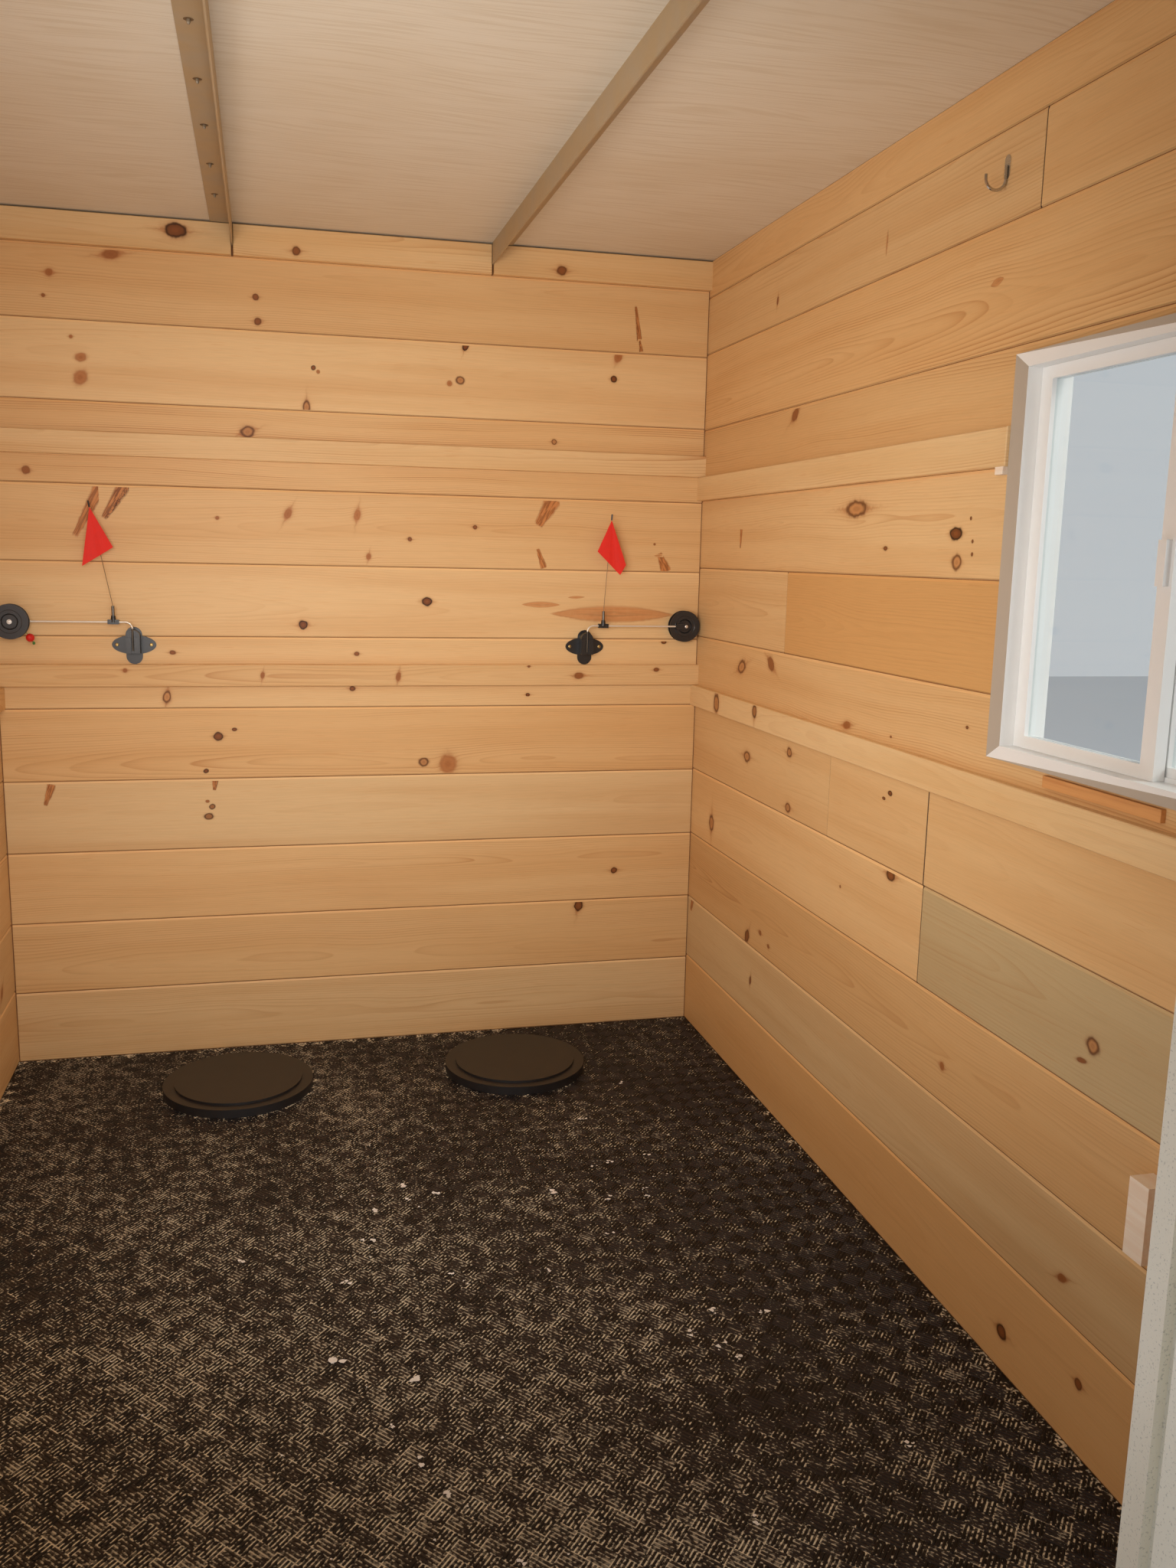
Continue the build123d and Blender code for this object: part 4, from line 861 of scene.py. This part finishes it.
strips("back_rails", back_side, BACK_RAIL_KNOTS)
strips("left_rails", left_side)
strips("right_rails", right_side, [knot for knot in RIGHT_KNOTS if on_rail(knot)])
strips("back_top_strip", back_side, [knot for knot in BACK_KNOTS if knot[1] > strip_bottom])

cover_low, cover_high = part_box("hole_covers")
cover_radius = (cover_high.y - cover_low.y) / 2
cover_y = (cover_high.y + cover_low.y) / 2
holes = [Vector((x, cover_y, 0)) for x in (cover_low.x + cover_radius, cover_high.x - cover_radius)]


def off_covers(spot, room):
    return all((spot - hole).xy.length > cover_radius + room for hole in holes)


def mat_ribs(name, y_low, y_high):
    """Basket weave: groups of short ribs that turn by a right angle from cell to cell."""
    low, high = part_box("floor_mat")
    rings = ((RIB_WIDTH, 0.0, high.z), (RIB_TOP, RIB_SLOPE, high.z + RIB_HEIGHT))
    points, faces = [], []
    count_x, count_y = int(room_width / CELL_ACROSS) + 2, int(room_depth / CELL_ALONG) + 2
    for lean in (0, 1):
        reach = Vector((CELL_ACROSS, -CELL_ALONG if lean else CELL_ALONG, 0)) / 4
        turned = Vector((-reach.x, reach.y, 0))
        run = reach.normalized()
        side = Vector((-run.y, run.x, 0))
        columns, rows = range(-count_x, count_x), range(-count_y, count_y)
        for i, j, number in product(columns, rows, range(RIBS_PER_CELL)):
            cell = Vector(((i + lean / 2) * CELL_ACROSS, (j + lean / 2) * CELL_ALONG, 0))
            middle = cell + turned * ((2 * number + 1) / RIBS_PER_CELL - 1)
            ends = middle - reach + run * RIB_END, middle + reach - run * RIB_END
            on_mat = all(
                low[axis] + MAT_RIM < end[axis] < high[axis] - MAT_RIM for end in ends for axis in (0, 1)
            )
            if on_mat and y_low <= middle.y < y_high and off_covers(middle, RIB_ROOM):
                faces += [tuple(len(points) + corner for corner in face) for face in RIB_FACES]
                for (width, cut, level), (end, sign), hand in product(rings, zip(ends, (1, -1)), (-1, 1)):
                    spot = end + run * sign * cut + side * hand * width / 2
                    points.append((spot.x, spot.y, level))
    make_mesh(name, points, faces, MAT_RIB)


mat_ribs("mat_ribs_front", -room_end, 0.0)
mat_ribs("mat_ribs_back", 0.0, room_end)

flake_points, flake_faces = [], []
flake_level = floor_level + RIB_HEIGHT + FLAKE_LIFT


def near(x, y, scatter):
    return Vector((chance.gauss(x, scatter), chance.gauss(y, scatter), flake_level))


def flake(spot, size):
    """One small irregular flake with an uneven rim."""
    sides = chance.randint(5, 8)
    flake_faces.append(tuple(range(len(flake_points), len(flake_points) + sides)))
    for number in range(sides):
        angle = math.tau * number / sides + chance.uniform(-0.3, 0.3)
        reach = size * chance.uniform(0.45, 1.2)
        curl = chance.uniform(0, FLAKE_CURL)
        flake_points.append(spot + Vector((math.cos(angle) * reach, math.sin(angle) * reach, curl)))


for across, along, size in FLAKES:
    for _ in range(3):
        flake(near(across, along, size * 0.5), size * 0.6)
for _ in range(FLAKE_CLUSTERS):
    x, y = chance.triangular(0.2, 0.8, 0.5), chance.uniform(-0.9, 0.9)
    for _ in range(3 if off_covers(Vector((x, y, 0)), FLAKE_ROOM) else 0):
        flake(near(x, y, 0.005), chance.uniform(0.002, 0.0055))
for _ in range(FLAKE_CRUMBS):
    spot = Vector((chance.triangular(-0.8, 0.8, -0.25), chance.triangular(-1.15, 0.9, -0.4), flake_level))
    if off_covers(spot, FLAKE_ROOM):
        flake(spot, chance.choice((0.0012, 0.0018, 0.0025)))
make_mesh("mat_flakes", flake_points, flake_faces, FLAKE)

# Every CAD node keeps its form and gets a material
for material, nodes in (
    (RUNNER, "runner_left runner_middle runner_right"), (JOIST, "floor_joists"), (DECK, "floor_deck"),
    (MAT, "floor_mat"), (BLACK, "hole_sleeve_left hole_sleeve_right"), (BLACK_DUSTY, "hole_covers"),
    (PINE_CORE_SEAM_SHADE, "back_wall left_wall right_wall front_wall_left front_wall_right front_wall_header"),
    (PINE_CORE_SEAM_SHADE, "back_top_strip back_rails left_rails right_rails"), (CEILING, "ceiling_panel"),
    (ANGLE, "ceiling_angle_left ceiling_angle_right"), (ROOF, "roof_sheet"), (TRIM_METAL, "corner_trims"),
    (SHADED_VINYL, "left_window_frame right_window_frame"), (GLASS, "left_window_glass right_window_glass"),
    (VINYL_TRACK, "left_window_sashes right_window_sashes"), (OFF_WHITE, "door_frame door_leaf"),
    (BRIGHT, "door_handle door_hinge_plates door_hinge_straps"), (HOOK, "coat_hook"),
    (BLACK, "left_reel_bracket left_reel_spool right_reel_bracket right_reel_spool"),
    (ROD, "left_reel_arm right_reel_arm"), (RED_CLOTH, "left_reel_flag right_reel_flag"),
    (BLOCK_PINE, "wood_block"),
):
    for node in nodes.split():
        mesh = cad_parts[node].data
        mesh.materials.clear()
        mesh.materials.append(material)


def paint_faces(node, rules):
    """More materials for faces of a CAD node. Each rule is a material and a test of a face's centre."""
    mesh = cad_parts[node].data
    for material, test in rules:
        mesh.materials.append(material)
        for face in mesh.polygons:
            if test(face.center):
                face.material_index = len(mesh.materials) - 1


# Faces round the glass get the white track; the rest of each frame keeps the painted shade of the vinyl
for side in ("left", "right"):
    low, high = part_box(side + "_window_glass")
    paint_faces(side + "_window_frame", ((
        VINYL_TRACK,
        lambda at: all(low[i] - WINDOW_TRACK < at[i] < high[i] + WINDOW_TRACK for i in (1, 2)),
    ),))

BOX_FACES = ((0, 1, 3, 2), (4, 6, 7, 5), (0, 4, 5, 1), (2, 3, 7, 6), (0, 2, 6, 4), (1, 5, 7, 3))


def boxes(name, spans, material, bevel=0.0):
    """Squared pieces given by lowest and highest corners, in one mesh."""
    points, faces = [], []
    for low, high in spans:
        faces += [tuple(len(points) + corner for corner in face) for face in BOX_FACES]
        points += product(*zip(low, high))
    made = make_mesh(name, points, faces, material)
    if bevel:
        easing = made.modifiers.new("eased", "BEVEL")
        easing.width = bevel
        easing.segments = 2


def on_outside(axis, hand, left, bottom, right, top, thick):
    """Low and high corner of a flat piece outside, on a side wall (axis 0) or on the back or front."""
    level = (out_side, out_end)[axis]
    near, far = sorted((hand * level, hand * (level + thick)))
    if axis:
        return (left, near, bottom), (right, far, top)
    return (near, left, bottom), (far, right, top)


def panels(reach, hole):
    """The rectangles around a hole in one outside face, each as left, bottom, right and top."""
    if hole is None:
        return [(-reach, wall_low, reach, ceiling_level)]
    left, bottom, right, top = hole
    found = [(-reach, wall_low, left, ceiling_level), (right, wall_low, reach, ceiling_level)]
    if bottom > wall_low:
        found.append((left, wall_low, right, bottom))
    return found + [(left, top, right, ceiling_level)]


# Outside sheets between the corner trims
outside_reach = (out_end - TRIM_REACH, out_side - TRIM_REACH)
window_hole = (window_low.y, window_low.z, window_high.y, window_high.z)
door_hole = (frame_low.x, wall_low, frame_high.x, frame_high.z)
sheets = [
    on_outside(axis, hand, *panel, SHEET_THICK)
    for axis, hand, hole in ((0, -1, window_hole), (0, 1, window_hole), (1, -1, door_hole), (1, 1, None))
    for panel in panels(outside_reach[axis], hole)
]
boxes("outside_sheets", sheets, CLADDING)

# Strips over the sheet joints, and a metal trim along the foot of the walls
base_top = wall_low + BASE_TRIM
strips_outside = []
for axis, hand in ((0, -1), (0, 1), (1, 1)):
    reach = outside_reach[axis]
    for piece in (
        (-JOINT_STRIP / 2, base_top, JOINT_STRIP / 2, ceiling_level), (-reach, wall_low, reach, base_top),
    ):
        strips_outside.append(on_outside(axis, hand, *piece, JOINT_THICK))
for left, right in ((-outside_reach[1], frame_low.x), (frame_high.x + HINGE_ROOM, outside_reach[1])):
    strips_outside.append(on_outside(1, -1, left, wall_low, right, base_top, JOINT_THICK))
boxes("outside_strips", strips_outside, TRIM_METAL, JOINT_EASED)

for name, (depths, distances, levels) in SMALL_WOOD.items():
    low = (room_side - depths[1], room_end - distances[1], floor_level + levels[0])
    high = (room_side - depths[0], room_end - distances[0], floor_level + levels[1])
    wood = ORANGE_PINE if name == "window_shim" else BLOCK_PINE
    boxes(name, [(low, high)], wood, WOOD_EASED)


def circle(radius, sides):
    """Points around the origin, flat in X and Y."""
    angles = [math.tau * number / sides for number in range(sides)]
    return [Vector((math.cos(angle) * radius, math.sin(angle) * radius, 0)) for angle in angles]


def bands(first, rings, sides):
    """Faces between rings of points that follow each other."""
    found = []
    for base in range(first, first + (rings - 1) * sides, sides):
        for number in range(sides):
            after = (number + 1) % sides
            found.append((base + number, base + after, base + sides + after, base + sides + number))
    return found


def screws(name, places, material, body="hut"):
    """Low domed screw heads: each place is a point and the direction it faces."""
    radius, height, sides = HEADS[name.removeprefix("left_").removeprefix("right_")]
    points, faces = [], []
    for spot, out in places:
        turn = Vector(out).to_track_quat("Z", "Y")
        faces += bands(len(points), 3, sides)
        for share, level in ((1.0, 0.0), (0.9, 0.6), (0.5, 1.0)):
            lift = Vector((0, 0, height * level))
            points += [Vector(spot) + turn @ (place + lift) for place in circle(radius * share, sides)]
        faces.append(tuple(range(len(points) - sides, len(points))))
    make_mesh(name, points, faces, material, body)


def tube(name, path, radius, material, body, sides=10):
    """Round wire along a path of points."""
    points = []
    path = [Vector(point) for point in path]
    for number, spot in enumerate(path):
        before, after = path[max(number - 1, 0)], path[min(number + 1, len(path) - 1)]
        turn = (after - before).to_track_quat("Z", "Y")
        points += [spot + turn @ place for place in circle(radius, sides)]
    ends = [tuple(range(sides))[::-1], tuple(range(len(points) - sides, len(points)))]
    return make_mesh(name, points, bands(0, len(path), sides) + ends, material, body)


def ball(name, centre, radius, material, stretch=1.0, rows=8, sides=14):
    """Bead on the line of the left reel."""
    points = []
    for row in range(rows + 1):
        tilt = math.pi * row / rows
        lift = Vector((0, 0, math.cos(tilt) * stretch * radius))
        points += [centre + lift + place for place in circle(math.sin(tilt) * radius, sides)]
    faces = [face[::-1] for face in bands(0, rows + 1, sides)]
    make_mesh(name, points, faces, material, "left_arm")


def flag_cloth(name, head, corners, body):
    """Thin cloth that fills the outline, with soft ripples that run out from the wire."""
    fan = [Vector(corner) for corner in corners[1:]]
    pairs = product(zip(fan, fan[1:]), range(FLAG_PARTS))
    rim = [start.lerp(stop, part / FLAG_PARTS) for (start, stop), part in pairs] + fan[-1:]
    points, faces = [], []
    for side, step, edge in product((-1, 1), range(FLAG_STEPS + 1), rim):
        x, z = edge * (step / FLAG_STEPS)
        slope = math.atan2(x, -z)
        ripple = sum(height * math.sin(slope * count + start) for height, count, start in FLAG_RIPPLES)
        ripple *= math.hypot(x, z) / FLAG_REACH
        points.append(head + Vector((x, ripple + side * FLAG_THICK / 2 - FLAG_SETBACK, z)))
    wide = len(rim)
    half = len(points) // 2
    for row, column in product(range(FLAG_STEPS), range(wide - 1)):
        a = row * wide + column
        quad = (a, a + 1, a + wide + 1, a + wide)
        faces += [quad, tuple(index + half for index in quad[::-1])]
    edge = [row * wide for row in range(FLAG_STEPS + 1)]
    edge += [FLAG_STEPS * wide + column for column in range(1, wide)]
    edge += [row * wide + wide - 1 for row in range(FLAG_STEPS - 1, -1, -1)]
    faces += [(first, first + half, second + half, second) for first, second in zip(edge, edge[1:])]
    return make_mesh(name, points, faces, RED_CLOTH, body)


def polygon_area(corners):
    pairs = zip(corners, corners[1:] + corners[:1])
    return abs(sum(x0 * z1 - x1 * z0 for (x0, z0), (x1, z1) in pairs)) / 2


def dress_reel(side, hand):
    """Colours and small parts of one wall reel."""
    arm_body, spool_body = side + "_arm", side + "_spool"
    bracket_low, bracket_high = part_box(side + "_reel_bracket")
    spool_low, spool_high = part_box(side + "_reel_spool")
    flag_low, flag_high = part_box(side + "_reel_flag")
    pivot_x = (bracket_low.x + bracket_high.x) / 2
    spool_x = (spool_low.x + spool_high.x) / 2
    level = (spool_low.z + spool_high.z) / 2
    clamp_x = pivot_x + hand * CLAMP_OFFSET
    rod_y = (flag_low.y + flag_high.y) / 2
    axle = Vector((spool_x, min(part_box(side + "_reel_arm")[0].y, spool_low.y) - AXLE_LIFT, level))
    paint_faces(side + "_reel_arm", (
        (BLACK, lambda at: abs(at.x - clamp_x) < CLAMP_HALF and CLAMP_LOW < at.z - level < BOSS_TOP),
        (BLACK, lambda at: -HUB_HALF < (spool_x - at.x) * hand < HUB_REACH and abs(at.z - level) < HUB_HALF),
        (BRIGHT, lambda at: (at - axle).xz.length < AXLE_HALF and abs(at.y - rod_y) > AXLE_OUT),
        (GUN_METAL, lambda at: abs(at.x - clamp_x) < TUBE_HALF and at.z - level > BOSS_TOP),
        # The rod inside the bracket's slot is painted shade
        (ROD_PAINTED_SHADE, lambda at: abs(at.x - pivot_x) < ROD_HALF and at.z < bracket_high.z - ROD_TOP),
    ))
    ear_y, ear_z = bracket_high.y - EAR_DEPTH, bracket_low.z + EAR_LEVEL
    # A grey disc on each brass screw head is the painted shade of its slot
    for title, forward, material in (("screws", 0.0, BRASS), ("screw_slots", SLOT_FORWARD, GASKET_AND_SLOT_SHADE)):
        ears = [((pivot_x + turn * EAR_SCREW, ear_y - forward, ear_z), (0, -1, 0)) for turn in (-1, 1)]
        screws(f"{side}_reel_{title}", ears, material)
    for title, (radius, thick, depth, sides) in SPOOL_RINGS.items():
        centre = Vector((spool_x, spool_low.y + depth, level))
        path = [centre + place.xzy for place in circle(radius, sides)]
        tube(f"{side}_spool_{title}", path + path[:1], thick, BLACK_GLOSS, spool_body, 6)
    screws(side + "_axle_head", [(axle, (0, -1, 0))], BRIGHT, arm_body)

    # Flag: wire and tip as in the CAD outline, the cloth a thin sheet
    corners = FLAG_CLOTHS[side]
    lows, highs = ([pick(values) for values in zip(*corners)] for pick in (min, max))
    foot = Vector((clamp_x, rod_y, level + TUBE_TOP))
    head = Vector((flag_low.x - lows[0], rod_y, flag_high.z - FLAG_TIP_LENGTH))
    end = head + (head - foot).normalized() * FLAG_TIP_LENGTH
    wire = tube(side + "_flag_wire", (foot, head), FLAG_WIRE_RADIUS, DARK_WIRE, arm_body, 8)
    tip = tube(side + "_flag_tip", (head, end), FLAG_TIP_RADIUS, BLACK, arm_body)
    cloth = flag_cloth(side + "_flag_cloth", head, corners, arm_body)
    for piece in (wire, tip, cloth):
        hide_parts(side + "_reel_flag")
    polygon_area(corners)


dress_reel("left", -1)
dress_reel("right", 1)
spool_low, spool_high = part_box("left_reel_spool")
spool_centre = (spool_low + spool_high) / 2
bead_at = Vector((spool_centre.x, spool_low.y, spool_centre.z)) + Vector(BEAD_AT)
line_knot_at = bead_at + Vector(LINE_KNOT)
ball("left_reel_bead", bead_at, BEAD_RADIUS, RED_BEAD)
ball("left_reel_line_knot", line_knot_at, LINE_KNOT_RADIUS, GREEN_LINE, 1.2)
line_path = (spool_centre + Vector(LINE_START), bead_at, line_knot_at)
tube("left_reel_line", line_path, LINE_RADIUS, GREEN_LINE, "left_arm", 6)

# Screw tips that come through the ceiling angles, with a stain around each
tips = []
for side in ("left", "right"):
    low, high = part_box("ceiling_angle_" + side)
    tip_x = low.x + TIP_EDGE if side == "left" else high.x - TIP_EDGE
    tips += [((tip_x, room_end - along, high.z - TIP_DEPTH), (0, 0, -1)) for along in ANGLE_TIPS]
screws("angle_screw_tips", tips, SCREW)
stains = [((x, y, z + STAIN_LIFT), out) for (x, y, z), out in tips]
screws("angle_screw_stains", stains, STAIN)

# Roof screws in the flats beside the ribs
flat_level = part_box("roof_sheet")[1].z - ROOF_RIB_HEIGHT
roof_screws, roof_washers = [], []
for number in range(ROOF_RIB_GAPS + 1):
    aside = ROOF_SCREW_ASIDE if number < ROOF_RIB_GAPS else -ROOF_SCREW_ASIDE
    screw_y = (number - ROOF_RIB_GAPS / 2) * ROOF_RIB_PITCH + aside
    for step in range(-3, 4):
        roof_washers.append(((step * ROOF_SCREW_PITCH, screw_y, flat_level), (0, 0, 1)))
        roof_screws.append(((step * ROOF_SCREW_PITCH, screw_y, flat_level + ROOF_WASHER), (0, 0, 1)))
screws("roof_washers", roof_washers, GASKET_AND_SLOT_SHADE)
screws("roof_screws", roof_screws, SCREW)

# Screws of the corner trims
trim_screws = []
trim_pitch = (ceiling_level - wall_low - 2 * TRIM_SCREW_END) / (TRIM_SCREWS - 1)
for hand_x, hand_y, step in product((-1, 1), (-1, 1), range(TRIM_SCREWS)):
    level = wall_low + TRIM_SCREW_END + step * trim_pitch
    side_at = (hand_x * (out_side + TRIM_OUT), hand_y * (out_end - TRIM_SCREW), level)
    end_at = (hand_x * (out_side - TRIM_SCREW), hand_y * (out_end + TRIM_OUT), level)
    trim_screws += [(side_at, (hand_x, 0, 0)), (end_at, (0, hand_y, 0))]
screws("trim_screws", trim_screws, SCREW)

# Studio
floor_size = 14.0
floor_mesh = bpy.data.meshes.new("studio_floor")
floor_corners = [(x, y, 0) for x, y in around(-floor_size, floor_size, -floor_size, floor_size)]
floor_mesh.from_pydata(floor_corners, [], [(0, 1, 2, 3)])
studio_floor = bpy.data.objects.new("studio_floor", floor_mesh)
scene = bpy.context.scene
scene.collection.objects.link(studio_floor)
floor_mesh.materials.append(plain("studio_floor_paint", (206, 208, 210), 0.8, 0.0, 1.0))
studio_floor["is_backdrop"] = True

world = bpy.data.worlds.new("studio")
scene.world = world
world.use_nodes = True
sky = world.node_tree.nodes["Background"]
sky.inputs[0].default_value = (0.9, 0.94, 1.0, 1.0)
sky.inputs[1].default_value = 0.62

# Lights: place, aim, width and height, power, colour, spread in degrees
WARM, COOL = (1.0, 0.97, 0.94), (0.95, 0.97, 1.0)
LIGHTS = {
    "door_sky": ((-0.35, -1.12, 1.62), (0.05, 1.2, 1.35), (0.9, 0.7), 8.0, WARM, 110),
    "window_sky": ((-0.8, -0.55, 1.55), (0.9, 0.55, 1.35), (0.5, 0.5), 3.0, (1.0, 0.97, 0.93), 120),
    "snow_glow": ((-0.22, -0.3, 0.42), (-0.3, 0.05, 2.3), (1.2, 1.5), 5.4, COOL, 180),
    "outside_key": ((5.5, -4.5, 6.0), (0, 0, 1.0), (4.0, 4.0), 360, (1.0, 0.98, 0.95), 180),
    "outside_fill": ((-6.0, 1.0, 4.0), (0, 0, 1.0), (5.0, 4.0), 190, COOL, 180),
}
for name, (at, aim, size, power, colour, spread) in LIGHTS.items():
    data = bpy.data.lights.new(name, "AREA")
    data.shape = "RECTANGLE"
    data.size, data.size_y = size
    data.energy = power
    data.color = colour
    data.spread = math.radians(spread)
    light = bpy.data.objects.new(name, data)
    scene.collection.objects.link(light)
    light.location = at
    light.rotation_euler = (Vector(aim) - Vector(at)).to_track_quat("-Z", "Y").to_euler()
    light.visible_camera = False

# Camera
camera_data = bpy.data.cameras.new("camera")
camera = bpy.data.objects.new("camera", camera_data)
scene.collection.objects.link(camera)
scene.camera = camera
camera_data.lens = CAMERA_LENS
camera_data.sensor_width = CAMERA_SENSOR
camera_data.sensor_fit = "AUTO"
camera_data.clip_start = CAMERA_NEAR
yaw, pitch, roll = (math.radians(value) for value in (CAMERA_YAW, CAMERA_PITCH, CAMERA_ROLL))
turn = Euler((math.pi / 2 + pitch, 0, -yaw)).to_matrix() @ Matrix.Rotation(-roll, 3, "Z")
camera.matrix_world = Matrix.Translation(CAMERA_AT) @ turn.to_4x4()

scene.view_settings.view_transform = "Standard"
# Short light paths keep the closed room quick to render
scene.cycles.max_bounces = 4
scene.cycles.diffuse_bounces = 3
scene.cycles.glossy_bounces = 2
scene.cycles.caustics_reflective = False
scene.cycles.use_light_tree = False
scene.cycles.adaptive_threshold = 0.02


def plain_list(value):
    if isinstance(value, dict):
        return {key: plain_list(item) for key, item in value.items()}
    if isinstance(value, (int, float, str)):
        return value
    return [plain_list(item) for item in value]


{"cad": plain_list(cad_bounds), "visual": plain_list(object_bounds())}
